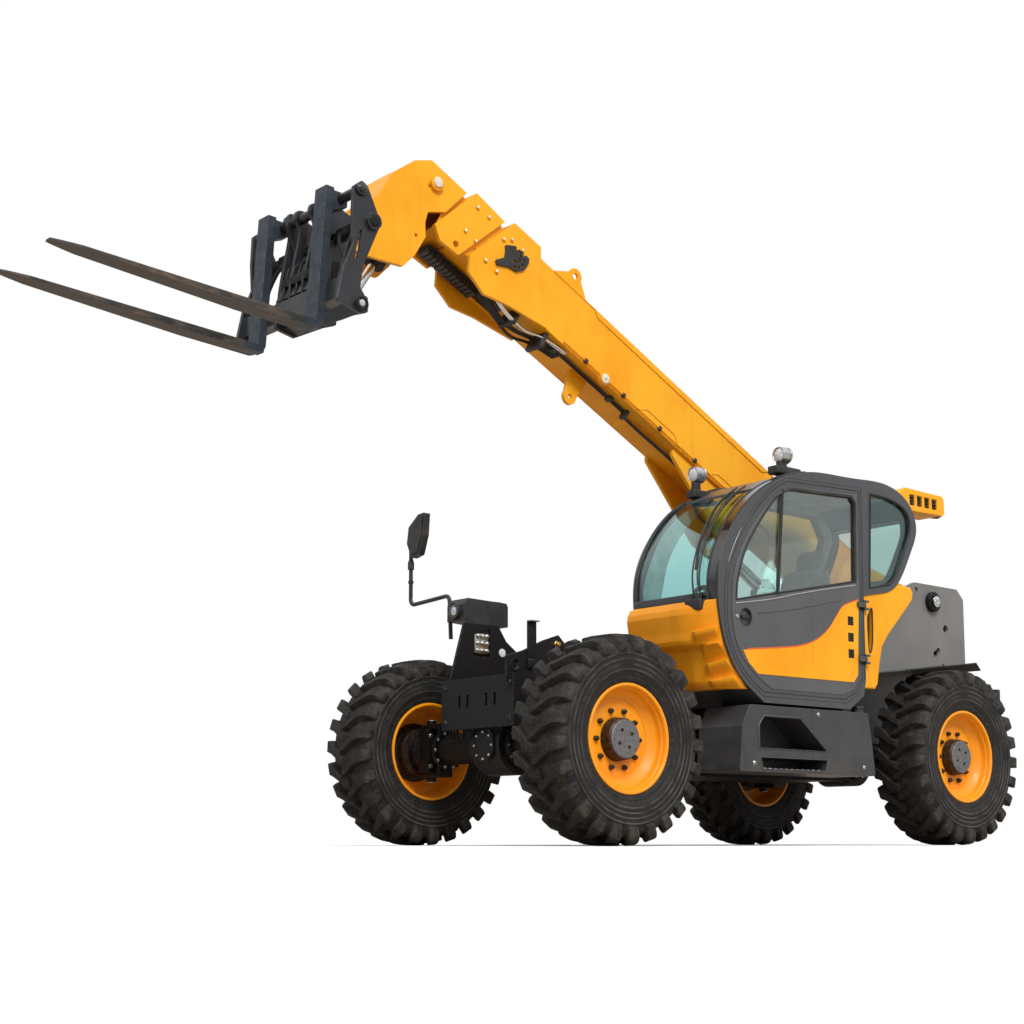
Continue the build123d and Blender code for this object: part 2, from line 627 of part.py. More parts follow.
BOX_IN = 830
BOX_OUT = 1070
LOUVRES = 4
LOUVRE_PITCH = 95
with BuildPart() as cab_panels:
    nose = [
        (-800, 1650),
        (-780, 1560),
        (-800, 1440),
        (-880, 1110),
        (-960, 1080),
        (-1160, 1080),
        (-1160, 1350),
        (-900, 1650),
    ]
    slab(front_side, nose, CAB_IN, CAB_OUT - 60)
    cowl = [
        (-2430, 1840),
        (-2660, 1880),
        (-2810, 1930),
        (-3032, 1940),
        (-3064, 1847),
        (-2668, 1472),
        (-2594, 1146),
        (-2430, 1146),
    ]
    slab(front_side, cowl, CAB_OUT - 250, CAB_OUT - 10)
    sheet(cab_face(CAB_OUTLINE), CAB_IN - 1, CAB_OUT + 1, mode=Mode.SUBTRACT)
    # louvred box behind the roof, with its round cap
    box = [(-2900, 2560), (-3120, 2750), (-3610, 2736), (-3630, 2590), (-3000, 2560)]
    slab(front_side, box, BOX_IN, BOX_OUT)
    for louvre in range(LOUVRES):
        x = FRONT_X - 3200 - LOUVRE_PITCH * louvre
        block((x - 30, x + 30), (BOX_OUT - 6, BOX_OUT + 1), (2620, 2700), mode=Mode.SUBTRACT)
    with Locations(ahead(FRONT_X - 3625, (BOX_IN + BOX_OUT) / 2, 2650, -1)):
        Cylinder(65, 90, align=(Align.CENTER, Align.CENTER, Align.MIN))
        Cylinder(72, 20, align=(Align.CENTER, Align.CENTER, Align.MIN))
    sheet(cab_face(CAB_OUTLINE), CAB_IN - 1, CAB_OUT + 1, mode=Mode.SUBTRACT)
    # slot in the cowl
    slot = [(-2500, 1610), (-2545, 1640), (-2545, 1400), (-2500, 1370)]
    slab(front_side, slot, CAB_OUT - 30, CAB_OUT, mode=Mode.SUBTRACT)
keep(cab_panels, "cab_panels")

with BuildPart() as dashboard:
    console = [
        (-1440, 1025),
        (-1380, 1025),
        (-1250, 1120),
        (-1110, 1330),
        (-1060, 1560),
        (-1200, 1580),
        (-1290, 1300),
    ]
    slab(front_side, console, CAB_IN + 120, CAB_OUT - 150)
    column = Plane(origin=(FRONT_X - 1180, 760, 1500), x_dir=(0, 1, 0), z_dir=(-0.55, 0, 0.835))
    with Locations(column.offset(-60)):
        Cylinder(25, 320, align=(Align.CENTER, Align.CENTER, Align.MIN))
    with Locations(column.offset(250)):
        Torus(175, 14)
        Box(330, 30, 14)
        Box(30, 330, 14)
keep(dashboard, "dashboard")

with BuildPart() as driver_seat:
    block((FRONT_X - 2150, FRONT_X - 1750), (600, 920), (1025, 1330))
    block((FRONT_X - 2200, FRONT_X - 1680), (520, 1000), (1330, 1450))
    slab(front_side, [(-2080, 1450), (-2200, 1450), (-2330, 2050), (-2230, 2090)], 530, 990, round_by=30)
keep(driver_seat, "driver_seat")

LAMP_IN = RAIL_OUT + 40
LAMP_OUT = RAIL_OUT + 235
LAMP_Z = 1655
with BuildPart() as lamps:
    # headlight box on the right-hand front plate, with a round lens at its front
    box = [(80, 1585), (80, 1700), (45, 1745), (-310, 1735), (-325, 1710), (-325, 1562)]
    slab(front_side, box, -LAMP_OUT, -LAMP_IN)
    with Locations(ahead(FRONT_X + 78, -(LAMP_IN + LAMP_OUT) / 2, LAMP_Z)):
        for radius, depth in ((48, 20), (56, 12)):
            Cylinder(radius, depth, align=(Align.CENTER, Align.CENTER, Align.MIN))
    slab(front_side, [(60, 1450), (60, 1600), (-200, 1590), (-200, 1450)], -LAMP_IN, -RAIL_OUT - 20)
    # mirror: bent arm and a head turned towards the driver
    with BuildLine() as arm:
        route = [
            (FRONT_X + 30, -LAMP_OUT - 20, 1470),
            (FRONT_X + 30, -LAMP_OUT - 40, 1790),
            (FRONT_X + 30, -1075, 1765),
            (FRONT_X + 30, -1075, 2260),
        ]
        FilletPolyline(*route, radius=45)
    with BuildSketch(Plane(origin=route[0], z_dir=(0, 0, 1))):
        Circle(15)
    sweep(path=arm.line)
    block((FRONT_X + 5, FRONT_X + 55), (-LAMP_OUT - 8, -LAMP_OUT), (1590, 1680))
    block((FRONT_X + 17, FRONT_X + 43), (-LAMP_OUT - 20, -LAMP_OUT), (1620, 1650))
    with BuildSketch(ahead(FRONT_X + 10, 0, 0)) as glass:
        with BuildLine():
            Polyline(
                (-1092, 2230),
                (-1072, 2350),
                (-955, 2432),
                (-872, 2438),
                (-888, 2270),
                (-940, 2130),
                (-1035, 2112),
                close=True,
            )
        make_face()
        fillet(glass.vertices(), 16)
    extrude(glass.sketch, amount=48)
    # work lamps on the roof
    for x, y, z in ((-1440, 450, 2710), (-1700, 1050, 2790)):
        with Locations((FRONT_X + x, y, z)):
            Cylinder(9, 500, align=(Align.CENTER, Align.CENTER, Align.MAX))
        with Locations(ahead(FRONT_X + x - 30, y, z)):
            Cylinder(48, 60, align=(Align.CENTER, Align.CENTER, Align.MIN))
            Cylinder(55, 22, align=(Align.CENTER, Align.CENTER, Align.MAX))
    sheet(cab_face(CAB_OUTLINE), CAB_IN - 1, CAB_OUT + 1, mode=Mode.SUBTRACT)
keep(lamps, "lamps")

# ---- engine pod cover ----
HOOD_X = (FRONT_X - 2750, FRONT_X - 950)
HOOD_OUT = -1200
HOOD_FOOT = 560
HOOD_T = 8
with BuildPart() as engine_hood:
    block(HOOD_X, (HOOD_OUT, HOOD_IN), (HOOD_FOOT, HOOD_TOP))
    hollow_x = (HOOD_X[0] + HOOD_T, HOOD_X[1] - HOOD_T)
    hollow_y = (HOOD_OUT + HOOD_T, HOOD_IN + 1)
    block(hollow_x, hollow_y, (HOOD_FOOT - 1, HOOD_TOP - HOOD_T), mode=Mode.SUBTRACT)
    across, up = HOOD_HINGE
    for x in HOOD_HINGES:
        block((x - 30, x + 30), (HOOD_IN - 30, across), (HOOD_TOP, up + 8))
        with Locations(ahead(x, across, up)):
            Cylinder(HINGE_TUBE_R, 60)
            Cylinder(HINGE_PIN_R + NEAR, 62, mode=Mode.SUBTRACT)
keep(engine_hood, "engine_hood")

# ---- boom, base section ----
IN_HALF = BOOM_HALF - BOOM_WALL
MID_HALF = IN_HALF - BOOM_GAP
HEAD_HALF = MID_HALF - BOOM_WALL - BOOM_GAP
MID_TOP = BOOM_TOP - BOOM_WALL - BOOM_GAP
MID_BOTTOM = BOOM_BOTTOM + BOOM_WALL + BOOM_GAP
HEAD_TOP = MID_TOP - BOOM_WALL - BOOM_GAP
HEAD_BOTTOM = MID_BOTTOM + BOOM_WALL + BOOM_GAP


def along(u, v, y):
    """A point given along and across the boom, and across the machine."""
    x, z = boom_to_xz((u, v))
    return (PIVOT_X + x, y, PIVOT_Z + z)


def tube(u0, u1, top, bottom, half, wall):
    """A square tube of one boom section, open at both ends."""
    slab(boom_side, rectangle(u0, u1, bottom, top), -half, half)
    bore = rectangle(u0 - 1, u1 + 1, bottom + wall, top - wall)
    slab(boom_side, bore, -half + wall, half - wall, mode=Mode.SUBTRACT)


def pads(u0, u1, top, bottom, half, thick):
    """Wear pads on the inner faces at a mouth: top, bottom and both sides."""
    for v0, v1 in ((top - thick, top), (bottom, bottom + thick)):
        slab(boom_side, rectangle(u0, u1, v0, v1), -half + 40, half - 40)
    for low, high in ((half - thick, half), (-half, -half + thick)):
        slab(boom_side, rectangle(u0, u1, bottom + 60, top - 60), low, high)


PAD = BOOM_GAP - PAD_GAP
HEAD_OUT = HEAD_HALF + 30  # outer faces of the head's cheeks
LIFTING_EYE_V = 75
LIFTING_EYE_R = 24
LUG_HALF = 14  # half the thickness of the lower lug
BASE_BOLTS = ((-31, -103), (-141, -108), (91, -394), (-24, -400), (30, -150))
MIDDLE_BOLTS = ((308, -89), (198, -84), (319, -310), (214, -318))
with BuildPart() as boom_base:
    tube(420, BOOM_MOUTH - 40, BOOM_TOP, BOOM_BOTTOM, BOOM_HALF, BOOM_WALL)
    pads(BOOM_MOUTH - 240, BOOM_MOUTH - 60, BOOM_TOP - BOOM_WALL, BOOM_BOTTOM + BOOM_WALL, IN_HALF, PAD)
    mouth = [
        (-270, 30),
        (0, 27),
        (216, -442),
        (166, -561),
        (-10, -615),
        (-218, -547),
        (-580, -470),
        (-440, -300),
    ]
    for low, high in ((BOOM_HALF, BOOM_HALF + COLLAR), (-BOOM_HALF - COLLAR, -BOOM_HALF)):
        slab(boom_side, [(BOOM_MOUTH + u, v) for u, v in mouth], low, high)
    bridge = [(-270, BOOM_TOP), (-270, 30), (0, 27), (-40, BOOM_TOP)]
    slab(boom_side, [(BOOM_MOUTH + u, v) for u, v in bridge], -BOOM_HALF, BOOM_HALF)
    # tail plates and pivot tube
    tail = [(-110, -80), (-80, 90), (80, 100), (600, BOOM_TOP), (600, BOOM_BOTTOM), (380, BOOM_BOTTOM)]
    for low, high in ((BOOM_HALF - BOOM_WALL, BOOM_HALF + 15), (-BOOM_HALF - 15, -BOOM_HALF + BOOM_WALL)):
        slab(boom_side, tail, low, high)
    bar(boom_side, (0, 0), 90, -RAIL_OUT + 5, RAIL_OUT - 5)
    bar(boom_side, (0, 0), PIVOT_R + FIT, -RAIL_OUT, RAIL_OUT, mode=Mode.SUBTRACT)
    # lift cylinder's bracket: two cheeks under the tube
    eye_u, eye_v = LIFT_EYE_UV
    cheek = [
        (eye_u - 420, BOOM_BOTTOM),
        (eye_u + 860, BOOM_BOTTOM),
        (eye_u + 830, BOOM_BOTTOM - 60),
        (eye_u + 110, eye_v - 60),
        (eye_u - 100, eye_v - 60),
    ]
    for low, high in ((120, 150), (-150, -120)):
        slab(boom_side, cheek, low, high, round_by=25)
    doubler = [(300, 0), (1270, 0), (1245, -35), (300, -35)]
    slab(boom_side, [(eye_u + u, BOOM_BOTTOM + v) for u, v in doubler], -118, 50)
    for low, high in ((95, 165), (-165, -95)):
        bar(boom_side, LIFT_EYE_UV, 45, low, high)
    # lifting eye, lower lug and chain-anchor bosses
    eye = BOOM_MOUTH - 646
    gusset = [(-170, BOOM_TOP), (190, BOOM_TOP), (58, LIFTING_EYE_V), (-58, LIFTING_EYE_V)]
    low, high = BOOM_HALF - 22, BOOM_HALF - 2
    slab(boom_side, [(eye + u, v) for u, v in gusset], low, high)
    bar(boom_side, (eye, LIFTING_EYE_V), 60, low, high)
    bar(boom_side, (eye, LIFTING_EYE_V), LIFTING_EYE_R, low - 1, high + 1, mode=Mode.SUBTRACT)
    lug = (BOOM_MOUTH - 1100, BOOM_BOTTOM - 185)
    sides = [(-80, BOOM_BOTTOM), (90, BOOM_BOTTOM), (55, lug[1]), (-55, lug[1])]
    slab(boom_side, [(lug[0] + u, v) for u, v in sides], -LUG_HALF, LUG_HALF)
    bar(boom_side, lug, 60, -LUG_HALF, LUG_HALF)
    bar(boom_side, lug, 20, -LUG_HALF - 1, LUG_HALF + 1, mode=Mode.SUBTRACT)
    for s in (1, -1):
        low, high = sorted((s * (BOOM_HALF - 5), s * (BOOM_HALF + 35)))
        bar(boom_side, (BOOM_MOUTH - 1202, BOOM_BOTTOM + 5), 45, low, high)
        # bolts that hold the wear pads, and the stiffening strip along the top edge
        face = s * (BOOM_HALF + COLLAR)
        bolts(boom_side, [(BOOM_MOUTH + u, v) for u, v in BASE_BOLTS], 15, face, s * 12)
        low, high = sorted((s * BOOM_HALF, s * (BOOM_HALF + 6)))
        strip = [(BOOM_MOUTH - 900, BOOM_TOP), (BOOM_MOUTH - 960, -70), (2100, -70), (2040, BOOM_TOP)]
        slab(boom_side, strip, low, high)
keep(boom_base, "boom_base")

with BuildPart() as boom_middle:
    tube(500, BOOM_MOUTH + MIDDLE_REACH, MID_TOP, MID_BOTTOM, MID_HALF, BOOM_WALL)
    end = BOOM_MOUTH + MIDDLE_REACH
    top, bottom = MID_TOP - BOOM_WALL, MID_BOTTOM + BOOM_WALL
    pads(end - 220, end - 20, top, bottom, MID_HALF - BOOM_WALL, PAD)
    mouth = [(BOOM_MOUTH + u, v) for u, v in ((67, -16), (359, 1), (543, -442), (458, -514), (284, -504))]
    for low, high in ((MID_HALF, BOOM_HALF + 10), (-BOOM_HALF - 10, -MID_HALF)):
        slab(boom_side, mouth, low, high)
        bar(boom_side, (BOOM_MOUTH + 338, -447), 24, low - 1, high + 1, mode=Mode.SUBTRACT)
    rim = [(67, MID_TOP), (67, -16), (359, 1), (MIDDLE_REACH, MID_TOP)]
    slab(boom_side, [(BOOM_MOUTH + u, v) for u, v in rim], -MID_HALF, MID_HALF)
    for s in (1, -1):
        bolts(boom_side, [(BOOM_MOUTH + u, v) for u, v in MIDDLE_BOLTS], 15, s * (BOOM_HALF + 10), s * 12)
keep(boom_middle, "boom_middle")

# ---- what is bolted along the base section: bracket, pipes, hose and the chain's tray ----
LINKS = 13  # of the energy chain
LINK_PITCH = 38
PIPES_Y = (70, 96)
CLAMP_Y = (54, 112)
with BuildPart() as boom_fittings:
    face = BOOM_HALF + COLLAR
    shield = [
        (0, -180),
        (-70, -132),
        (-215, -128),
        (-228, -165),
        (-215, -235),
        (-165, -290),
        (-95, -305),
        (0, -362),
        (22, -335),
        (-35, -265),
        (-20, -215),
    ]
    slab(boom_side, [(BOOM_MOUTH + u, v) for u, v in shield], face, face + 14, round_by=9)
    for ring, count in ((52, 6), (92, 7)):
        for k in range(count):
            turn = radians(95 + 150 * k / (count - 1))
            at = (BOOM_MOUTH - 95 + ring * cos(turn), -190 + ring * sin(turn))
            bar(boom_side, at, 11, face - 1, face + 15, mode=Mode.SUBTRACT)
    # tray with the folded energy chain, on the right under the mouth
    under = BOOM_BOTTOM
    tray_end = BOOM_MOUTH + 430
    slab(boom_side, rectangle(BOOM_MOUTH - 300, tray_end, under - 8, under), -125, 5)
    for link in range(LINKS):
        u = tray_end - 6 - LINK_PITCH * link
        slab(boom_side, rectangle(u - 32, u, under - 56, under - 8), -110, -10, round_by=6)
    spine = rectangle(tray_end - LINK_PITCH * LINKS, tray_end - 10, under - 36, under - 28)
    slab(boom_side, spine, -98, -22)
    # two steel pipes in clamps, and the hose that turns down to the lift cylinder
    pipe_end = BOOM_MOUTH - 1566
    for y in PIPES_Y:
        with BuildLine() as pipe:
            FilletPolyline(
                along(BOOM_MOUTH - 640, under - 90, y),
                along(BOOM_MOUTH - 720, under - 16, y),
                along(pipe_end, under - 16, y),
                radius=40,
            )
        with BuildSketch(Plane(origin=pipe.line @ 0, z_dir=pipe.line % 0)):
            Circle(8)
        sweep(path=pipe.line)
    for u in (BOOM_MOUTH - 800, BOOM_MOUTH - 1400):
        slab(boom_side, rectangle(u, u + 40, under - 30, under), *CLAMP_Y)
    hose_start = pipe_end + 10
    hose_end = LIFT_EYE_UV[0] + 330
    run = hose_end - hose_start
    with BuildLine() as hose:
        Spline(
            along(hose_start, under - 48, 83),
            along(hose_start + 0.24 * run, under - 55, 83),
            along(hose_start + 0.63 * run, under - 62, 90),
            along(hose_start + 0.90 * run, under - 130, 96),
            along(hose_end, under - 210, 100),
        )
    with BuildSketch(Plane(origin=hose.line @ 0, z_dir=hose.line % 0)):
        Circle(13)
    sweep(path=hose.line)
    slab(boom_side, rectangle(pipe_end - 10, pipe_end + 20, under - 64, under), *CLAMP_Y)
    bar(boom_side, (hose_end, under - 205), 22, 84, 120)
keep(boom_fittings, "boom_fittings")

# ---- boom head ----
HEAD_OUTLINE = [
    (BOOM_MOUTH + u, v)
    for u, v in (
        (418, -43),
        (760, -43),
        (871, -142),
        (974, -343),
        (994, -560),
        (1109, -830),
        (1119, -920),
        (1064, -1010),
        (929, -1020),
        (611, -864),
        (567, -731),
        (554, -560),
        (604, -470),
        (619, -390),
        (499, -288),
    )
]
with BuildPart() as boom_head:
    tube(600, BOOM_MOUTH + 514, HEAD_TOP, HEAD_BOTTOM, HEAD_HALF, BOOM_WALL)
    for low, high in ((HEAD_HALF, HEAD_OUT), (-HEAD_OUT, -HEAD_HALF)):
        slab(boom_side, HEAD_OUTLINE, low, high, round_by=8)
    web = (
        (424, -45),
        (758, -45),
        (868, -143),
        (970, -343),
        (988, -560),
        (968, -560),
        (952, -350),
        (854, -155),
        (751, -60),
        (424, HEAD_TOP + 1),
    )
    slab(boom_side, [(BOOM_MOUTH + u, v) for u, v in web], -HEAD_HALF, HEAD_HALF)
    bar(boom_side, (BOOM_MOUTH + 624, -602), 12, -HEAD_OUT - 1, HEAD_OUT + 1, mode=Mode.SUBTRACT)
    for s in (1, -1):
        pair = [(TILT_UV[0] + 20, TILT_UV[1]), (TILT_UV[0] - 20, TILT_UV[1])]
        bolts(boom_side, pair, 9, s * (HEAD_OUT + 25), s * 8)
    bar(boom_side, HINGE_UV, 45 + FIT, -HEAD_OUT - 1, HEAD_OUT + 1, mode=Mode.SUBTRACT)
    bar(boom_side, TILT_UV, TILT_PIN_R, -HEAD_OUT - 25, HEAD_OUT + 25)
keep(boom_head, "boom_head")

# ---- lift cylinder: barrel on the tower, rod towards the boom's bracket ----
foot = LIFT_FOOT_XZ
eye = boom_to_xz(LIFT_EYE_UV)
lift_angle = atan2(eye[1] - foot[1], eye[0] - foot[0])
lift_length = ((eye[0] - foot[0]) ** 2 + (eye[1] - foot[1]) ** 2) ** 0.5
lift_side = Plane(
    origin=(PIVOT_X + foot[0], 0, PIVOT_Z + foot[1]),
    x_dir=(cos(lift_angle), 0, sin(lift_angle)),
    z_dir=(0, -1, 0),
)


def cylinder_barrel(side, length, radius, rod, foot_r, foot_pin, half):
    """A cylinder's barrel: eye at the foot, tube and open gland for the rod."""
    bar(side, (0, 0), foot_r, -half, half)
    with BuildSketch(side) as profile:
        with BuildLine():
            Polyline(
                (foot_r - 20, 0),
                (foot_r - 20, radius),
                (length, radius),
                (length, rod + NEAR),
                (foot_r + 30, rod + NEAR),
                (foot_r + 30, 0),
                close=True,
            )
        make_face()
    revolve(profile.sketch, axis=Axis(side.origin, side.x_dir))
    bar(side, (0, 0), foot_pin + NEAR, -half - 1, half + 1, mode=Mode.SUBTRACT)


def cylinder_rod(side, start, end, rod, eye_r, half):
    """A cylinder's rod with the eye at its end and a short pin in the eye."""
    with BuildSketch(side) as profile:
        with BuildLine():
            Polyline((start, 0), (start, rod), (end, rod), (end, 0), close=True)
        make_face()
    revolve(profile.sketch, axis=Axis(side.origin, side.x_dir))
    bar(side, (end, 0), eye_r, -half, half)


LIFT_ROD_R = 50
with BuildPart() as lift_barrel:
    cylinder_barrel(lift_side, 0.742 * lift_length, 100, LIFT_ROD_R, 85, LIFT_FOOT_R, 80)
keep(lift_barrel, "lift_barrel")
with BuildPart() as lift_rod:
    cylinder_rod(lift_side, 0.258 * lift_length, lift_length, LIFT_ROD_R, 80, 80)
keep(lift_rod, "lift_rod")

# ---- tilt cylinder: barrel in the boom head, rod to the carriage ----
TILT_PIN_CZ = (-60, -500)  # rod eye's pin from the carriage hinge, along and across the forks
pin = (
    HINGE_XZ[0] + TILT_PIN_CZ[0] * cos(tilt) - TILT_PIN_CZ[1] * sin(tilt),
    HINGE_XZ[1] + TILT_PIN_CZ[0] * sin(tilt) + TILT_PIN_CZ[1] * cos(tilt),
)
top = boom_to_xz(TILT_UV)
tilt_angle = atan2(pin[1] - top[1], pin[0] - top[0])
tilt_length = ((pin[0] - top[0]) ** 2 + (pin[1] - top[1]) ** 2) ** 0.5
tilt_side = Plane(
    origin=(PIVOT_X + top[0], 0, PIVOT_Z + top[1]),
    x_dir=(cos(tilt_angle), 0, sin(tilt_angle)),
    z_dir=(0, -1, 0),
)
TILT_ROD_R = 30
with BuildPart() as tilt_barrel:
    cylinder_barrel(tilt_side, 0.62 * tilt_length, 75, TILT_ROD_R, 75, TILT_PIN_R, 60)
keep(tilt_barrel, "tilt_barrel")
with BuildPart() as tilt_rod:
    cylinder_rod(tilt_side, 0.43 * tilt_length, tilt_length, TILT_ROD_R, 55, 50)
keep(tilt_rod, "tilt_rod")

# ---- fork carriage ----
TOP_SHAFT = (261, 54)
MID_SHAFT = (158, -129)
FOOT_BOSS = (209, -682)
RAIL_BACK = SHANK[0] - SHANK_T
PLATE_SLOT = [(225, -200), (250, -205), (272, -400), (247, -405)]
with BuildPart() as fork_carriage:
    side_plate = [
        (261, 112),
        (215, 90),
        (110, -90),
        (104, -150),
        (205, -434),
        (215, -575),
        (160, -640),
        (165, -715),
        (200, -738),
        (377, -700),
        (345, -473),
        (290, -309),
        (312, -140),
        (318, 60),
    ]
    for s in (1, -1):
        low, high = sorted((s * (CARRIAGE_HALF - 25), s * CARRIAGE_HALF))
        slab(carriage_side, side_plate, low, high, round_by=14)
        slab(carriage_side, PLATE_SLOT, low - 1, high + 1, round_by=8, mode=Mode.SUBTRACT)
        bolts(carriage_side, [TOP_SHAFT], 30, s * (CARRIAGE_HALF + 10), s * 14)
        for radius, out in ((46, 14), (28, 24)):
            low, high = sorted((s * (CARRIAGE_HALF - 25), s * (CARRIAGE_HALF + out)))
            bar(carriage_side, FOOT_BOSS, radius, low, high)
    bar(carriage_side, TOP_SHAFT, SHAFT_R, -CARRIAGE_HALF - 10, CARRIAGE_HALF + 10)
    bar(carriage_side, MID_SHAFT, 40, -CARRIAGE_HALF - 8, CARRIAGE_HALF + 8)
    for s in (1, -1):
        low, high = sorted((s * CARRIAGE_HALF, s * (CARRIAGE_HALF + 22)))
        bar(carriage_side, MID_SHAFT, 55, low, high)
    # lower rail that the shanks lean on
    rail = [(RAIL_BACK - 85, -655), (RAIL_BACK, -655), (RAIL_BACK, -520), (RAIL_BACK - 85, -560)]
    slab(carriage_side, rail, -CARRIAGE_HALF, CARRIAGE_HALF)
    # coupler plates that carry the frame on the boom head, outside the head's cheeks
    coupler = [
        (-62, 60),
        (60, 62),
        (225, 118),
        (300, 112),
        (310, 20),
        (215, -190),
        (RAIL_BACK, -500),
        (RAIL_BACK, -690),
        (180, -712),
        (-40, -580),
        (-130, -540),
        (-122, -440),
        (10, -410),
        (60, -80),
        (-62, -62),
    ]
    for low, high in ((HEAD_OUT + 8, HEAD_OUT + 33), (-HEAD_OUT - 33, -HEAD_OUT - 8)):
        slab(carriage_side, coupler, low, high, round_by=18)
    # diaphragm and bottom plate between the coupler plates
    between = HEAD_OUT + 8
    diaphragm = [(225, -200), (RAIL_BACK - 8, -500), (RAIL_BACK - 28, -500), (205, -200)]
    bottom = [(RAIL_BACK - 60, -640), (RAIL_BACK - 60, -673), (170, -700), (170, -682)]
    for outline in (diaphragm, bottom):
        slab(carriage_side, outline, -between, between)
    # stub hooks beside the coupler and pairs of stiffeners behind the frame
    for y in (-470, -225, 225, 470):
        stiffener = [(190, -150), (225, -170), (RAIL_BACK - 20, -530), (RAIL_BACK - 85, -600), (230, -430)]
        slab(carriage_side, stiffener, y - 8, y + 8)
    bar(carriage_side, (0, 0), 45, -HEAD_OUT - 45, HEAD_OUT + 45)
    # ends of the tilt cylinder's pin, clear of the rod's eye between them
    for s in (1, -1):
        low, high = sorted((s * 70, s * (HEAD_OUT + 60)))
        bar(carriage_side, TILT_PIN_CZ, 35, low, high)
        low, high = sorted((s * (HEAD_OUT + 33), s * (HEAD_OUT + 48)))
        bar(carriage_side, TILT_PIN_CZ, 62, low, high)
keep(fork_carriage, "fork_carriage")

with BuildPart() as forks:
    front, foot_z = SHANK
    blade_top = Plane(
        origin=carriage_side.origin + (foot_z + FORK_T) * carriage_side.y_dir,
        x_dir=carriage_side.x_dir,
        z_dir=carriage_side.y_dir,
    )
    blade = [
        (front - SHANK_T, FORK_TOP),
        (front, FORK_TOP),
        (front, foot_z + FORK_T),
        (front + FORK_LENGTH, foot_z + FORK_T),
        (front + FORK_LENGTH, foot_z + FORK_T - 12),
        (front + 500, foot_z),
        (front - 15, foot_z),
        (front - SHANK_T + 15, foot_z + 12),
        (front - SHANK_T, foot_z + 45),
    ]
    hanger = [(front - SHANK_T, 95), (215, 95), (215, 10), (front - SHANK_T, -40)]
    for middle in (-FORK_Y, FORK_Y):
        low = middle - FORK_W / 2
        high = middle + FORK_W / 2
        slab(carriage_side, blade, low, high)
        slab(carriage_side, hanger, low + 15, high - 15)
        # tips taper in plan
        for out in (-1, 1):
            edge = middle + out * FORK_W / 2
            with BuildSketch(blade_top) as corner:
                with BuildLine():
                    Polyline(
                        (front + FORK_LENGTH + 1, edge + out),
                        (front + FORK_LENGTH - 190, edge + out),
                        (front + FORK_LENGTH - 60, middle + out * 42),
                        (front + FORK_LENGTH + 1, middle + out * 26),
                        close=True,
                    )
                make_face()
            extrude(corner.sketch, amount=2 * FORK_T, both=True, mode=Mode.SUBTRACT)
        bar(carriage_side, TOP_SHAFT, SHAFT_R + NEAR, low - 1, high + 1, mode=Mode.SUBTRACT)
keep(forks, "forks")
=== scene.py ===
from math import atan2, cos, pi, radians, sin

import bmesh
import bpy
from mathutils import Matrix, Vector


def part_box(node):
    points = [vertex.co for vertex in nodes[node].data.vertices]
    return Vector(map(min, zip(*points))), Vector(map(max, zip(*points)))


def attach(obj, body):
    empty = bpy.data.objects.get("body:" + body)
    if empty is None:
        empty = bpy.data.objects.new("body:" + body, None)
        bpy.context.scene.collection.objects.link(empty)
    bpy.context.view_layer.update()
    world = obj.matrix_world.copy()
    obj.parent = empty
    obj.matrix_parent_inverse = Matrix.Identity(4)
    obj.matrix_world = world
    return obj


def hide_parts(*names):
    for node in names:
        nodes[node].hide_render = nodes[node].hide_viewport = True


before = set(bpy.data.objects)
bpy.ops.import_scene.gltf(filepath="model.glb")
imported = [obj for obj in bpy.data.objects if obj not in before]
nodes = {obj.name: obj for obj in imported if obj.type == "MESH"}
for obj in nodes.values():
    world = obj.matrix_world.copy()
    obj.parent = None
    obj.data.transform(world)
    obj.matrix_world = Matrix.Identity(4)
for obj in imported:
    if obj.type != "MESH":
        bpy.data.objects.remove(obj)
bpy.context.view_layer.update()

# ---- places, in millimetres ----
MM = 0.001
TYRE_R = 675
WHEELBASE = 3600
PIVOT_AFT = 800  # boom pin behind the rear axle
PIVOT_Z = 2040
TYRE_MID = 1025  # middle of a tyre, from the machine's middle
CAB_OUT = 1170  # outer and inner side of the cab
CAB_IN = 350
BOOM_MOUTH = 5046  # pivot to the mouth of the base section
BOOM_HALF = 170
FRONT_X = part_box("tyre_front_left")[0].x / MM + TYRE_R
REAR_X = FRONT_X - WHEELBASE
PIVOT_X = REAR_X - PIVOT_AFT
AXLE_Z = TYRE_R
BOTH = (1, -1)
SIDES = ((1, "left"), (-1, "right"))
AXLES = (("front", FRONT_X), ("rear", REAR_X))


def side_on(x, z, angle=0.0):
    """A side-on frame: local x along, local y up or across, local z towards -Y."""
    c, s = cos(angle), sin(angle)
    return Matrix(((c, -s, 0, x * MM), (0, 0, -1, 0), (s, c, 0, z * MM), (0, 0, 0, 1)))


SIDE = side_on(FRONT_X, 0)
BOOM = side_on(PIVOT_X, PIVOT_Z, radians(26.8))
hinge = BOOM @ (Vector((BOOM_MOUTH + 1034, -900, 0)) * MM)
CARRIAGE = side_on(hinge.x / MM, hinge.z / MM, radians(4))
# upright frames with the world's axes, at the front axle, the rear axle and the boom's pin
FRONT, REAR, PIVOT = (Matrix.Translation((x * MM, 0, 0)) for x in (FRONT_X, REAR_X, PIVOT_X))


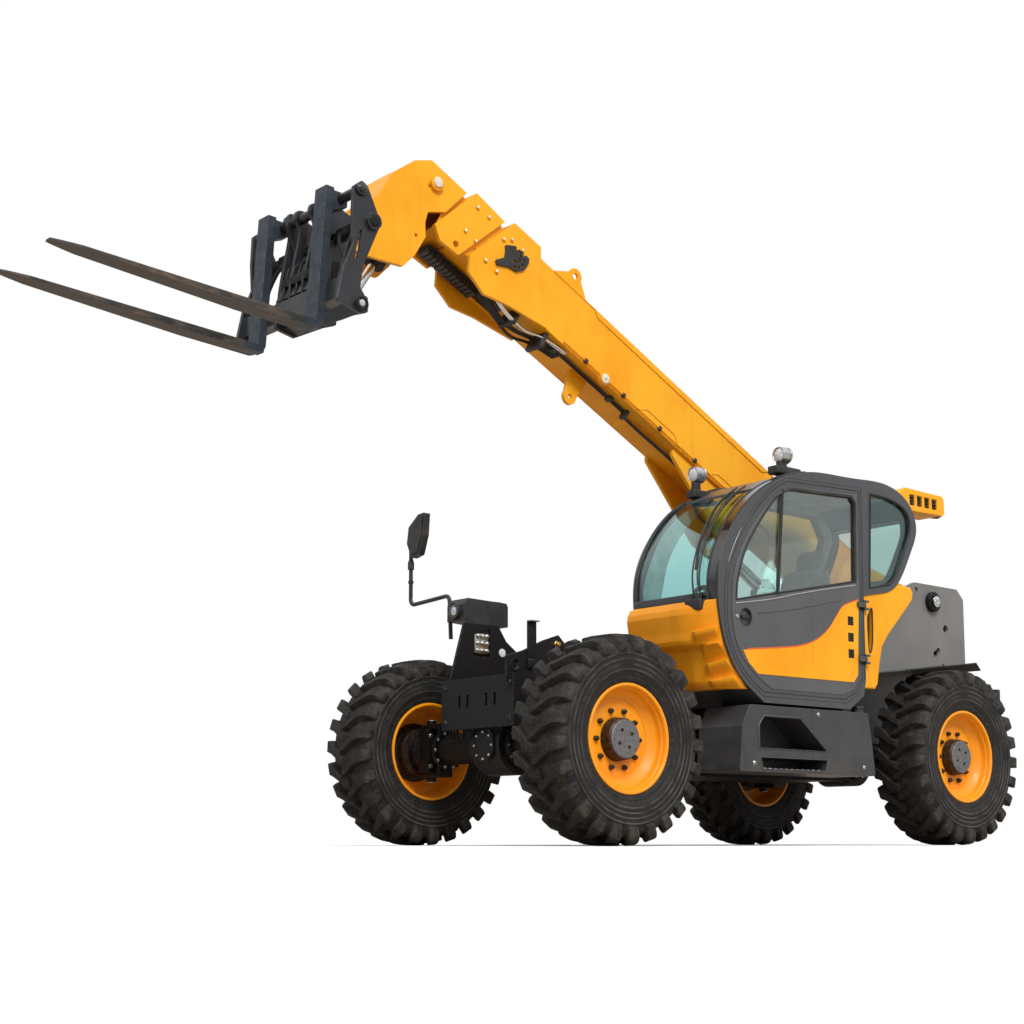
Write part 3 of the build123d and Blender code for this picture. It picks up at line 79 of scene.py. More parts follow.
# ---- materials ----
class Shade:
    """The node tree of a material or a world, with short calls for the nodes that it uses."""

    def __init__(self, owner):
        self.owner = owner
        owner.use_nodes = True
        self.tree = owner.node_tree
        self.tree.nodes.clear()
        self.coords = self.node("TexCoord").outputs["Object"]

    def node(self, kind, inputs=None, **settings):
        made = self.tree.nodes.new("ShaderNode" + kind)
        for key, value in settings.items():
            setattr(made, key, value)
        for key, value in (inputs or {}).items():
            self.put(made.inputs[key], value)
        return made

    def put(self, socket, value):
        if isinstance(value, bpy.types.NodeSocket):
            self.tree.links.new(value, socket)
        elif socket.type == "RGBA":
            socket.default_value = (*value, 1)
        else:
            socket.default_value = value

    def noise(self, scale, detail=3, rough=0.55, coords=None):
        coords = coords or self.coords
        values = {"Vector": coords, "Scale": scale, "Detail": detail, "Roughness": rough}
        return self.node("TexNoise", values).outputs["Fac"]

    def stretched(self, factors, turn=(0, 0, 0)):
        values = {"Vector": self.coords, "Scale": factors, "Rotation": turn}
        return self.node("Mapping", values).outputs["Vector"]

    def placed(self, matrix):
        """Coordinates measured in a side-on frame: along, towards -Y and across."""
        values = {0: self.coords, 1: matrix.translation}
        centred = self.node("VectorMath", values, operation="SUBTRACT").outputs[0]
        values = {"Vector": centred, "Angle": atan2(matrix[2][0], matrix[0][0])}
        return self.node("VectorRotate", values, rotation_type="Y_AXIS").outputs[0]

    def axes(self, coords=None):
        return self.node("SeparateXYZ", {"Vector": coords or self.coords}).outputs[:3]

    def math(self, operation, a, b=0.0, clamp=False):
        return self.node("Math", {0: a, 1: b}, operation=operation, use_clamp=clamp).outputs[0]

    def times(self, first, *others):
        for value in others:
            first = self.math("MULTIPLY", first, value)
        return first

    def plus(self, a, b, clamp=False):
        return self.math("ADD", a, b, clamp)

    def wave(self, value, rate):
        return self.math("SINE", self.times(value, rate))

    def distance(self, a, b):
        return self.math("SQRT", self.plus(self.times(a, a), self.times(b, b)))

    def step(self, value, low, high, to_low=0.0, to_high=1.0):
        values = {"Value": value, "From Min": low, "From Max": high}
        values.update({"To Min": to_low, "To Max": to_high})
        return self.node("MapRange", values, interpolation_type="SMOOTHSTEP").outputs["Result"]

    def mix(self, factor, a, b):
        return self.node("Mix", {0: factor, 6: a, 7: b}, data_type="RGBA").outputs[2]

    def edge(self, radius):
        """The rounded normal near the piece's edges, and how near an edge is, from 0 to 1."""
        rounded = self.node("Bevel", {"Radius": radius}, samples=4).outputs["Normal"]
        values = {0: rounded, 1: self.node("NewGeometry").outputs["True Normal"]}
        dot = self.node("VectorMath", values, operation="DOT_PRODUCT").outputs["Value"]
        return rounded, self.step(dot, 0.98, 0.80)

    def bump(self, height, distance, normal=None, strength=1.0):
        values = {"Height": height, "Distance": distance, "Strength": strength}
        if normal is not None:
            values["Normal"] = normal
        return self.node("Bump", values).outputs["Normal"]

    def principled(self, colour, rough, normal, metal=0.0, coat=0.0, **more):
        """The finished material of one principled shader."""
        values = {"Base Color": colour, "Roughness": rough, "Metallic": metal}
        values.update({"Coat Weight": coat, "Normal": normal})
        values.update({key.replace("_", " "): value for key, value in more.items()})
        return self.finish(self.node("BsdfPrincipled", values).outputs[0])

    def finish(self, shader, output="OutputMaterial"):
        self.tree.links.new(shader, self.node(output).inputs["Surface"])
        return self.owner


def new_shade(name):
    return Shade(bpy.data.materials.new(name))


def scaled(colour, factor, lift=0.0):
    return [v * factor + lift for v in colour]


DUST = (0.34, 0.27, 0.19)
STEEL = (0.42, 0.42, 0.43)
PRIMER = (0.30, 0.16, 0.05)


def painted(name, colour, deep, rough, coat, wear, dust, shine=0.5, worn=STEEL):
    """Sprayed steel: slow colour drift, orange peel, scuffed edges and dust low down."""
    s = new_shade(name)
    rounded, edge = s.edge(0.006)
    broad = s.noise(1.7, 4)
    blotch = s.noise(9, 5, 0.65)
    streaks = s.noise(1, 4, 0.6, s.stretched((14, 14, 1.6)))
    base = s.mix(s.step(broad, 0.35, 0.7), colour, deep)
    base = s.mix(s.times(s.step(streaks, 0.56, 0.74), 0.22), base, scaled(deep, 0.62))
    low = s.step(s.plus(s.axes()[2], s.times(blotch, 0.7)), 1.75, 0.75)
    dirt = s.times(low, s.step(blotch, 0.3, 0.75), dust)
    base = s.mix(dirt, base, DUST)
    bare = s.times(edge, s.step(s.noise(55, 4, 0.7), 0.5, 0.62), wear)
    scuffs = s.noise(1, 5, 0.75, s.stretched((30, 30, 7), (0.4, 0.9, 0.3)))
    scuffed = s.times(s.step(scuffs, 0.66, 0.72), 0.16 * wear)
    base = s.mix(s.math("MAXIMUM", bare, scuffed), base, worn)
    gloss = s.plus(s.step(blotch, 0.2, 0.8, rough - 0.05, rough + 0.1), s.times(dirt, 0.6), True)
    skin = s.bump(broad, 0.004, s.bump(s.noise(210, 2, 0.5), 0.00012, rounded), 0.5)
    more = {"Coat_Roughness": 0.12, "Specular_IOR_Level": shine}
    return s.principled(base, gloss, skin, coat=coat, **more)


def plastic(name, colour, rough, grain, depth, dust):
    """Moulded plastic or rubber with a fine grain."""
    s = new_shade(name)
    rounded, edge = s.edge(0.005)
    blotch = s.noise(7, 5, 0.65)
    base = s.mix(s.step(blotch, 0.3, 0.75), colour, scaled(colour, 1.7, 0.004))
    base = s.mix(s.times(edge, 0.35), base, scaled(colour, 2.6, 0.02))
    base = s.mix(s.times(s.step(s.noise(3, 6, 0.7), 0.5, 0.75), dust), base, DUST)
    gloss = s.step(blotch, 0.25, 0.75, rough - 0.08, rough + 0.12)
    return s.principled(base, gloss, s.bump(s.noise(grain, 2), depth, rounded))


def metal(name, colour, rough, spots, spot_colour, brushed=(1, 1, 1)):
    """Bare or plated metal with tool marks and stains."""
    s = new_shade(name)
    rounded, edge = s.edge(0.003)
    stain = s.noise(spots, 5, 0.7)
    lines = s.noise(220, 3, 0.6, s.stretched(brushed))
    base = s.mix(s.step(stain, 0.5, 0.72), colour, spot_colour)
    base = s.mix(s.times(edge, 0.5), base, [min(1, v) for v in scaled(colour, 1.3)])
    gloss = s.step(lines, 0.3, 0.7, rough - 0.04, rough + 0.08)
    gloss = s.plus(gloss, s.step(stain, 0.5, 0.75, 0, 0.25), True)
    return s.principled(base, gloss, s.bump(lines, 0.0002, rounded), metal=1.0)


def pane(name, tint, mirror):
    """Thin tinted glass: what is behind it through the tint, and a mirror by its angle."""
    s = new_shade(name)
    clear = s.node("BsdfTransparent", {"Color": tint}).outputs[0]
    film = s.step(s.noise(5, 4, 0.7), 0.5, 0.8, 0.015, 0.065)
    shine = s.node("BsdfGlossy", {"Color": (0.92, 0.97, 0.96), "Roughness": film}).outputs[0]
    edge_on = s.math("POWER", s.node("LayerWeight", {"Blend": 0.5}).outputs["Facing"], 4.0)
    values = {0: s.plus(s.times(edge_on, 0.8), mirror), 1: clear, 2: shine}
    return s.finish(s.node("MixShader", values).outputs[0])


def lens(name, colour, ribs):
    """A moulded lamp lens: ribbed and glossy, lit from within by nothing but the room."""
    s = new_shade(name)
    _, y, z = s.axes()
    skin = s.bump(s.math("MAXIMUM", s.wave(y, ribs), s.wave(z, ribs)), 0.0012)
    base = s.mix(s.step(s.noise(30), 0.3, 0.7), colour, scaled(colour, 0.75))
    return s.principled(base, 0.12, skin, coat=1.0, Coat_Roughness=0.03)


def fabric(name, colour, thread):
    """Woven seat cloth: crossed threads with a sheen."""
    s = new_shade(name)
    x, y, z = s.axes()
    weave = s.times(s.wave(y, 2200), s.wave(s.plus(x, z), 2200))
    base = s.mix(s.step(weave, -0.8, 0.8), colour, thread)
    base = s.mix(s.times(s.step(s.noise(12, 5), 0.4, 0.75), 0.4), base, DUST)
    return s.principled(base, 0.85, s.bump(weave, 0.0006), Sheen_Weight=0.35)


def rubber_tyre(name):
    """Tread rubber, round the local y axis: powder and a painted highlight on the shoulders, rubbed
    rings and a painted sheen on the sidewall.
    """
    s = new_shade(name)
    x, _, z = s.axes()
    radius = s.distance(x, z)
    blotch = s.noise(11, 6, 0.7)
    speck = s.noise(70, 4, 0.7)
    wall = s.mix(s.step(blotch, 0.35, 0.7), (0.010, 0.0095, 0.009), (0.024, 0.022, 0.021))
    tread = s.mix(s.step(speck, 0.35, 0.7), (0.009, 0.0085, 0.008), (0.034, 0.030, 0.026))
    base = s.mix(s.step(s.plus(radius, s.times(blotch, 0.05)), 0.585, 0.64), wall, tread)
    ring = s.times(s.step(radius, 0.50, 0.60), s.step(radius, 0.672, 0.63))
    # powder on the shoulders, made lighter still as a painted highlight on the lug ends
    powder_and_highlight = s.times(ring, s.step(blotch, 0.42, 0.72), 0.32)
    base = s.mix(powder_and_highlight, base, (0.17, 0.14, 0.115))
    inner = s.times(s.step(radius, 0.47, 0.40), s.step(speck, 0.5, 0.7), 0.3)
    base = s.mix(inner, base, (0.13, 0.11, 0.09))
    ribs = s.step(s.wave(radius, 190), 0.1, 0.8)
    band = s.times(s.step(radius, 0.40, 0.44), s.step(radius, 0.575, 0.54), ribs)
    # lighter rubbed rings on the sidewall, made lighter still as a painted sheen
    lightened = s.times(band, s.step(s.noise(5, 5, 0.7), 0.35, 0.65), 0.6)
    base = s.mix(lightened, base, (0.125, 0.118, 0.108))
    skin = s.bump(speck, 0.0012, s.bump(blotch, 0.003))
    rings = s.times(s.wave(radius, 900), s.step(radius, 0.58, 0.55))
    skin = s.bump(band, 0.004, s.bump(rings, 0.0005, skin, 0.5), 0.8)
    return s.principled(base, s.step(blotch, 0.3, 0.7, 0.58, 0.85), skin, Specular_IOR_Level=0.3)


def hub_metal(name):
    """Wheel hub: brown-black casting, machined grey cap, dark nuts."""
    s = new_shade(name)
    x, y, z = s.axes()
    front, rear = (s.math("ABSOLUTE", s.math("SUBTRACT", x, at * MM)) for _, at in AXLES)
    radius = s.distance(s.math("MINIMUM", front, rear), s.math("SUBTRACT", z, AXLE_Z * MM))
    rounded, edge = s.edge(0.004)
    grit = s.noise(45, 5, 0.7)
    casting = s.mix(s.step(grit, 0.35, 0.7), (0.020, 0.014, 0.011), (0.075, 0.050, 0.036))
    cap = s.mix(s.step(grit, 0.4, 0.75), (0.20, 0.20, 0.205), (0.10, 0.095, 0.09))
    on_cap = s.times(s.step(radius, 0.127, 0.122), s.step(s.math("ABSOLUTE", y), 1.165, 1.17))
    base = s.mix(s.times(edge, 0.35), s.mix(on_cap, casting, cap), (0.3, 0.27, 0.25))
    gloss = s.step(grit, 0.3, 0.7, 0.36, 0.6)
    return s.principled(base, gloss, s.bump(grit, 0.0012, rounded), metal=0.55)


def fork_steel(name):
    """Forks: shanks painted blue-grey, blades worn to dark steel with rust."""
    s = new_shade(name)
    along = s.axes(s.placed(CARRIAGE))[0]
    rounded, edge = s.edge(0.008)
    blotch = s.noise(1, 6, 0.7, s.stretched((5, 16, 16)))
    scale = s.noise(60, 5, 0.75)
    shank = s.mix(s.step(scale, 0.35, 0.7), (0.026, 0.036, 0.050), (0.050, 0.062, 0.080))
    blade = s.mix(s.step(blotch, 0.35, 0.65), (0.028, 0.026, 0.025), (0.085, 0.072, 0.060))
    base = s.mix(s.step(along, 0.41, 0.55), shank, blade)
    rusty = s.math("MAXIMUM", edge, s.step(blotch, 0.55, 0.72))
    rust = s.mix(scale, (0.11, 0.045, 0.020), (0.26, 0.14, 0.075))
    base = s.mix(s.times(rusty, s.step(along, 0.5, 0.9), 0.75), base, rust)
    lightened = s.times(edge, s.step(scale, 0.45, 0.62), 0.5)
    base = s.mix(lightened, base, (0.34, 0.32, 0.30))
    gloss = s.step(blotch, 0.3, 0.7, 0.34, 0.62)
    return s.principled(base, gloss, s.bump(scale, 0.0008, rounded), metal=0.35)


PAINTS = {
    # colour, the colour it drifts to, roughness, coat, wear, dust, shine, colour beneath
    "paint_yellow": (
        (0.93, 0.42, 0.014), (0.86, 0.33, 0.004), 0.38, 0.04, 0.35, 0.10, 0.22, PRIMER,
    ),
    # the rims' orange-yellow, set lighter to make up for the shade of the tyres' lips: partly
    # painted light
    "paint_rim": ((0.98, 0.36, 0.005), (0.92, 0.30, 0.004), 0.38, 0.08, 0.2, 0.05, 0.35),
    # the yellow paint made darker and more orange for the nose: painted shade
    "paint_nose": (
        (0.90, 0.345, 0.008), (0.80, 0.275, 0.003), 0.36, 0.08, 0.35, 0.10, 0.25, PRIMER,
    ),
    "paint_grey": ((0.036, 0.038, 0.042), (0.028, 0.030, 0.033), 0.42, 0.15, 0.35, 0.10),
    "paint_cab": ((0.060, 0.062, 0.068), (0.050, 0.052, 0.057), 0.34, 0.3, 0.15, 0.04),
    "paint_door": ((0.092, 0.092, 0.092), (0.070, 0.071, 0.073), 0.28, 0.4, 0.1, 0.04),
    "paint_tower": ((0.185, 0.178, 0.172), (0.150, 0.146, 0.142), 0.42, 0.12, 0.3, 0.08),
    "paint_black": ((0.008, 0.008, 0.009), (0.008, 0.008, 0.008), 0.45, 0.03, 0.40, 0.015, 0.22),
    "paint_carriage": ((0.017, 0.018, 0.021), (0.026, 0.028, 0.032), 0.36, 0.2, 0.6, 0.0, 0.4),
    "gloss_black": ((0.008, 0.008, 0.009), (0.010, 0.010, 0.011), 0.16, 0.8, 0.05, 0.02),
    "stripe_red": ((0.62, 0.035, 0.010), (0.80, 0.12, 0.012), 0.3, 0.5, 0.05, 0.0),
}
METALS = {
    # colour, roughness, scale of the stains, their colour, direction of the tool marks
    "trim_silver": ((0.62, 0.63, 0.64), 0.25, 9, (0.42, 0.42, 0.42), (1, 12, 12)),
    "pin_steel": ((0.60, 0.59, 0.57), 0.28, 14, (0.34, 0.30, 0.26), (6, 1, 6)),
    "rod_chrome": ((0.80, 0.81, 0.82), 0.10, 4, (0.62, 0.60, 0.56), (1, 8, 1)),
    "fitting_brass": ((0.62, 0.43, 0.14), 0.3, 20, (0.30, 0.20, 0.09)),
    "pipe_zinc": ((0.55, 0.55, 0.52), 0.33, 25, (0.36, 0.34, 0.28), (1, 9, 9)),
    "mirror_silver": ((0.90, 0.91, 0.92), 0.06, 3, (0.80, 0.81, 0.82)),
}
PLASTICS = {
    # colour, roughness, scale and depth of the grain, dust
    "plastic_liner": ((0.36, 0.38, 0.37), 0.7, 300, 0.0003, 0.05),
    "rubber_black": ((0.010, 0.010, 0.010), 0.6, 900, 0.0001, 0.12),
    "plastic_ivory": ((0.62, 0.58, 0.47), 0.4, 500, 0.0001, 0.05),
    "plastic_black": ((0.014, 0.014, 0.015), 0.48, 700, 0.00025, 0.10),
    "console_grey": ((0.045, 0.047, 0.050), 0.55, 700, 0.0003, 0.05),
}
MAT = {}
for make, table in ((painted, PAINTS), (metal, METALS), (plastic, PLASTICS)):
    MAT.update({name: make(name, *values) for name, values in table.items()})
MAT.update({
    "glass_green": pane("glass_green", (0.73, 0.90, 0.89), 0.10),
    "glass_side": pane("glass_side", (0.90, 0.92, 0.89), 0.17),
    "glass_clear": pane("glass_clear", (0.93, 0.95, 0.95), 0.06),
    "lens_red": lens("lens_red", (0.55, 0.012, 0.010), 900),
    "lens_amber": lens("lens_amber", (0.85, 0.24, 0.010), 900),
    "lens_white": lens("lens_white", (0.80, 0.82, 0.84), 700),
    "seat_cloth": fabric("seat_cloth", (0.030, 0.032, 0.036), (0.075, 0.078, 0.085)),
    "tyre_rubber": rubber_tyre("tyre_rubber"),
    "hub_casting": hub_metal("hub_casting"),
    "fork_steel": fork_steel("fork_steel"),
})
YELLOW, BLACK, GREY, GLOSS = "paint_yellow", "paint_black", "paint_grey", "gloss_black"
CAB, TOWER, STEEL_PIN, TRIM = "paint_cab", "paint_tower", "pin_steel", "trim_silver"
RUBBER, PLASTIC, CONSOLE, LINER = "rubber_black", "plastic_black", "console_grey", "plastic_liner"
CHROME, ZINC, BRASS, IVORY = "rod_chrome", "pipe_zinc", "fitting_brass", "plastic_ivory"

FINISH = {
    BLACK: "chassis_frame tower_pins engine_block front_axle rear_axle lift_barrel tilt_barrel "
    "knuckle",
    TOWER: "tower_left tower_right rear_fenders",
    GREY: "counterweight step_box",
    CAB: "cab_frame door_panel",
    "glass_green": "cab_glass",
    "glass_side": "door_glass",
    YELLOW: "cab_panels engine_hood boom_base boom_middle boom_head",
    CONSOLE: "dashboard driver_seat",
    PLASTIC: "lamps boom_fittings",
    CHROME: "lift_rod tilt_rod",
    "paint_carriage": "fork_carriage",
    "fork_steel": "forks",
    RUBBER: "tyre",
    "paint_rim": "rim",
    "hub_casting": "hub",
}
finish_of = {word: material for material, words in FINISH.items() for word in words.split()}
for node, piece in nodes.items():
    material = finish_of.get(node) or finish_of[node.split("_")[0]]
    piece.data.materials.clear()
    piece.data.materials.append(MAT[material])


# ---- piece builders: all take millimetres ----
def place(name, data, body, matrix=None):
    if matrix is not None:
        data.transform(matrix)
    piece = bpy.data.objects.new(name, data)
    bpy.context.collection.objects.link(piece)
    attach(piece, body)
    return piece


def shade(data, material, sharp=32):
    """Smooth shading between faces that meet at less than the sharp angle."""
    data.materials.clear()
    data.materials.append(MAT[material])
    for face in data.polygons:
        face.use_smooth = True
    data.set_sharp_from_angle(angle=radians(sharp))


def closed_mesh(name, bm, material, sharp=32):
    bmesh.ops.recalc_face_normals(bm, faces=bm.faces)
    data = bpy.data.meshes.new(name)
    bm.to_mesh(data)
    bm.free()
    shade(data, material, sharp)
    return data


def from_bmesh(name, bm, material, body, matrix=None):
    return place(name, closed_mesh(name, bm, material), body, matrix)


def smooth(points, per=8, closed=False):
    """A smooth line through the points (Catmull-Rom), per steps between each two."""
    count = len(points)
    pts = [Vector(p) for p in points]
    line = []
    for i in range(count if closed else count - 1):
        if closed:
            a, b, c, d = (pts[(i + k) % count] for k in (-1, 0, 1, 2))
        else:
            b, c = pts[i], pts[i + 1]
            a = pts[i - 1] if i else b + (b - c)
            d = pts[i + 2] if i + 2 < count else c + (c - b)
        for k in range(per):
            t = k / per
            bend = (2 * a - 5 * b + 4 * c - d) * t**2 + (3 * b - a - 3 * c + d) * t**3
            line.append(0.5 * (2 * b + (c - a) * t + bend))
    return line if closed else line + [pts[-1]]


def to_mesh(curve, outlines, closed, name, material, body, matrix):
    """The curve's mesh, with a spline along each outline, as a piece of its own."""
    for outline in outlines:
        spline = curve.splines.new("POLY")
        spline.points.add(len(outline) - 1)
        for point, spot in zip(spline.points, outline):
            point.co = (*(Vector(spot).to_3d() * MM), 1)
        spline.use_cyclic_u = closed
    shape = bpy.data.objects.new(name + "_line", curve)
    bpy.context.collection.objects.link(shape)
    data = bpy.data.meshes.new_from_object(shape)
    bpy.data.objects.remove(shape)
    data.name = name
    shade(data, material)
    return place(name, data, body, matrix)


def plate(name, outlines, low, high, material, body, matrix=SIDE, bevel=2):
    """A flat plate of one outline, any others being holes, between local depths low and high."""
    curve = bpy.data.curves.new(name, "CURVE")
    curve.dimensions = "2D"
    curve.fill_mode = "BOTH"
    curve.extrude = ((high - low) / 2 - bevel) * MM
    curve.bevel_depth = bevel * MM
    curve.bevel_resolution = 1
    curve.offset = -bevel * MM
    middle = matrix @ Matrix.Translation((0, 0, (low + high) / 2 * MM))
    return to_mesh(curve, outlines, True, name, material, body, middle)


def skin(name, outlines, inner, outer, material, body="chassis", bevel=2):
    """A side-on plate from y = inner to y = outer."""
    return plate(name, outlines, -outer, -inner, material, body, SIDE, bevel)


def bead(name, points, radius, material="rubber_black", body="chassis", matrix=SIDE,
         per=0, closed=False, sides=3):
    """A round bead, hose or bar along the points, smoothed with per steps between each two."""
    curve = bpy.data.curves.new(name, "CURVE")
    curve.dimensions = "3D"
    curve.bevel_depth = radius * MM
    curve.bevel_resolution = sides
    curve.use_fill_caps = True
    line = smooth(points, per, closed) if per else points
    return to_mesh(curve, [line], closed, name, material, body, matrix)


def join(bm, here, there):
    """Faces between two lines of vertices."""
    for a, b, c, d in zip(here, here[1:], there[1:], there):
        bm.faces.new((a, b, c, d))


def revolved(bm, profile, segments, axis="Y", centre=(0, 0, 0), closed=True):
    """A ring of the profile's (across, radius) points round an axis."""
    rings = []
    for k in range(segments):
        a = 2 * pi * k / segments
        ring = []
        for across, radius in profile:
            u, v = radius * cos(a), radius * sin(a)
            spot = {"X": (across, u, v), "Y": (u, across, v), "Z": (u, v, across)}[axis]
            ring.append(bm.verts.new((Vector(centre) + Vector(spot)) * MM))
        rings.append(ring + ring[:1] if closed else ring)
    for here, there in zip(rings, rings[1:] + rings[:1]):
        join(bm, here, there)


def turned(name, profiles, segments, axis, centre, material,
           body="chassis", closed=True, matrix=FRONT):
    bm = bmesh.new()
    for profile in profiles:
        revolved(bm, profile, segments, axis, centre, closed)
    return from_bmesh(name, bm, material, body, matrix)


def rounded_box(bm, low, high, bevel, segments):
    """A box with rolled edges."""
    verts = bmesh.ops.create_cube(bm, size=1)["verts"]
    for vert in verts:
        vert.co = Vector([a + (v + 0.5) * (b - a) for a, b, v in zip(low, high, vert.co)]) * MM
    edges = list({edge for vert in verts for edge in vert.link_edges})
    bmesh.ops.bevel(
        bm, geom=edges, offset=bevel * MM, segments=segments, affect="EDGES", profile=0.6
    )


def boxes(name, spans, material, body="chassis", matrix=FRONT, bevel=4, segments=2):
    """Boxes with rolled edges, each (low, high) and maybe a bevel and segments of its own."""
    bm = bmesh.new()
    for low, high, *own in spans:
        rounded_box(bm, low, high, *own, *(bevel, segments)[len(own):])
    return from_bmesh(name, bm, material, body, matrix)


def circle_of(count, radius=1, start=0.0):
    """Points spread evenly on a circle."""
    angles = [start + 2 * pi * k / count for k in range(count)]
    return [(radius * cos(a), radius * sin(a)) for a in angles]


def stacked(bm, matrix, profile, count):
    """Rings of (radius, height) along the matrix's local z, joined and closed at the top."""
    rings = []
    for radius, height in profile:
        spots = [Vector((x, y, height)) * MM for x, y in circle_of(count, radius)]
        rings.append([bm.verts.new(matrix @ spot) for spot in spots])
    for a, b in zip(rings, rings[1:]):
        join(bm, a + a[:1], b + b[:1])
    bm.faces.new(rings[-1])
    return rings[0]


def disc_with_rim(bm, matrix, radius, depth, roll=4, segments=40):
    """A round cap with a rolled rim, standing along the matrix's local z."""
    top = [(radius - roll * 0.3, depth - roll * 0.3), (radius - roll, depth)]
    bm.faces.new(stacked(bm, matrix, [(radius, 0), (radius, depth - roll)] + top, segments))


def hex_head(bm, matrix, radius, depth):
    """A hexagon bolt head on a washer, standing along the matrix's local z."""
    disc_with_rim(bm, matrix, radius * 1.35, depth * 0.22, depth * 0.08, 24)
    heights = [(radius, depth * 0.2), (radius, depth * 0.86), (radius * 0.86, depth)]
    stacked(bm, matrix, heights, 6)


def facing(spot, way, matrix=FRONT):
    """A frame at the spot, given in an upright or side-on frame, whose z points the way."""
    turn = Vector(way).to_track_quat("Z", "Y").to_matrix().to_4x4()
    return Matrix.Translation(matrix @ (Vector(spot) * MM)) @ turn


def flanks(matrix, u, v, y):
    """Two outward frames, left and right, at one spot of a side-on frame."""
    return [facing((u, v, -s * y), (0, s, 0), matrix) for s in BOTH]


def bolted(name, frames, radius, depth, material, body="chassis"):
    bm = bmesh.new()
    for at in frames:
        hex_head(bm, at, radius, depth)
    return from_bmesh(name, bm, material, body)


def caps(name, frames, radius, depth, material, body="chassis", roll=3, segments=40):
    bm = bmesh.new()
    for at in frames:
        disc_with_rim(bm, at, radius, depth, roll, segments)
    return from_bmesh(name, bm, material, body)


# ---- outlines, seen from the left, in the side-on frame ----
def flat(points, z=0.0):
    return [(point[0], point[1], z) for point in points]


def smooth_flat(points, per=8, closed=False):
    return [(p.x, p.y) for p in smooth(flat(points), per, closed)]


def inset(points, by):
    """The closed outline moved inwards."""
    points = list(points)
    pairs = list(zip(points, points[1:] + points[:1]))
    turn = 1 if sum(a[0] * b[1] - b[0] * a[1] for a, b in pairs) > 0 else -1
    normals = [Vector((a[1] - b[1], b[0] - a[0])).normalized() * turn for a, b in pairs]
    moved = []
    for point, before, after in zip(points, normals[-1:] + normals[:-1], normals):
        step = (before + after) * (by / max(0.2, 1 + before.dot(after)))
        moved.append((point[0] + step.x, point[1] + step.y))
    return moved


def lifted(line, by):
    """An open line moved to its left, which is outwards on the cab."""
    out = []
    for k, point in enumerate(line):
        ahead, behind = Vector(line[min(k + 1, len(line) - 1)]), Vector(line[max(k - 1, 0)])
        way = (ahead - behind).normalized()
        out.append((point[0] + way.y * by, point[1] - way.x * by))
    return out


def circle(x, z, radius):
    return [(x + a, z + b) for a, b in circle_of(40, radius)]


def square(x, z, half_x, half_z):
    corners = ((-1, -1), (1, -1), (1, 1), (-1, 1))
    return [(x + a * half_x, z + b * half_z) for a, b in corners]


def soft_square(x0, x1, z0, z1, round_by=50):
    """A rectangle whose corners are quarter circles of seven points."""
    corners = []
    middles = ((x1 - round_by, z1 - round_by), (x0 + round_by, z1 - round_by),
               (x0 + round_by, z0 + round_by), (x1 - round_by, z0 + round_by))
    for quarter, (x, z) in enumerate(middles):
        angles = [radians(90 * quarter + 15 * k) for k in range(7)]
        corners += [(x + round_by * cos(a), z + round_by * sin(a)) for a in angles]
    return corners


# ---- wheels: one tyre and one rim mesh, used four times ----
TREAD = (
    # where the lug's top and foot run (across, radius), its lead, and its half widths there
    ((-14, 675), (-14, 622), 0, 23, 33),
    ((30, 675), (30, 622), 20, 26, 36),
    ((75, 675), (75, 620), 52, 29, 39),
    ((115, 674), (115, 617), 82, 35, 44),
    ((150, 671), (148, 610), 103, 41, 49),
    ((185, 663), (176, 598), 112, 44, 52),
    ((206, 650), (188, 584), 116, 44, 52),
    ((218.5, 628), (196, 570), 118, 43, 51),
    ((222.5, 600), (200, 560), 119, 40, 48),
    ((221.5, 572), (203, 552), 120, 36, 43),
    ((213.5, 553), (206, 546), 120, 30, 36),
)
CARCASS = (
    (0, 630), (60, 629), (120, 624), (165, 611), (188, 594), (200, 573), (206.5, 552),
    (211.5, 545), (212, 538), (208.5, 531), (210.5, 505), (211, 476), (208, 469), (208.5, 461),
    (210.5, 455), (207, 432), (198.5, 410), (191.5, 400), (190, 393), (191.5, 387), (187, 372),
    (177, 358), (169, 353.5),
)
RIM = (
    (168, 354), (180, 354), (182.5, 351), (183, 342), (180.5, 335), (174, 331), (160, 328.5),
    (151, 327.5), (147, 322), (140, 319.5), (118, 318), (108, 315), (101, 309), (94, 302),
    (80, 287), (72, 279), (68, 268), (61.5, 262), (60, 256), (60, 236), (62, 232), (62.5, 226),
    (62.5, 150), (60, 140.5), (44, 140.5), (44, 262), (30, 300), (0, 318), (-150, 326.5),
    (-179.5, 334), (-181.5, 342), (-179.5, 352.5), (-168, 354),
)
LUGS = 25
LUG_ROLL = 6


def lug_row(start, side, top, foot, lead, half_top, half_foot):
    """One cut across a lug: foot, rolled top edge, top, and back down."""
    half = ((0, half_foot), (0.82, half_top), (1, half_top - LUG_ROLL))
    row = []
    for share, along in [(share, -by) for share, by in half] + list(reversed(half)):
        across, radius = (a + share * (b - a) for a, b in zip(foot, top))
        angle = start + (lead + along) / TYRE_R
        row.append((radius * cos(angle), side * across, radius * sin(angle)))
    return row


def tyre_mesh():
    bm = bmesh.new()
    mirrored = [(-across, radius) for across, radius in reversed(CARCASS[1:])]
    revolved(bm, list(CARCASS) + mirrored, 200)
    for side in BOTH:
        for k in range(LUGS):
            start = 2 * pi * (k + (0.5 if side < 0 else 0)) / LUGS
            rows = [[bm.verts.new(Vector(spot) * MM) for spot in lug_row(start, side, *cut)]
                    for cut in TREAD]
            for here, there in zip(rows, rows[1:]):
                join(bm, here, there)
            bm.faces.new(rows[0])
            bm.faces.new(rows[-1])
    return closed_mesh("tyre_tread", bm, "tyre_rubber", 24)


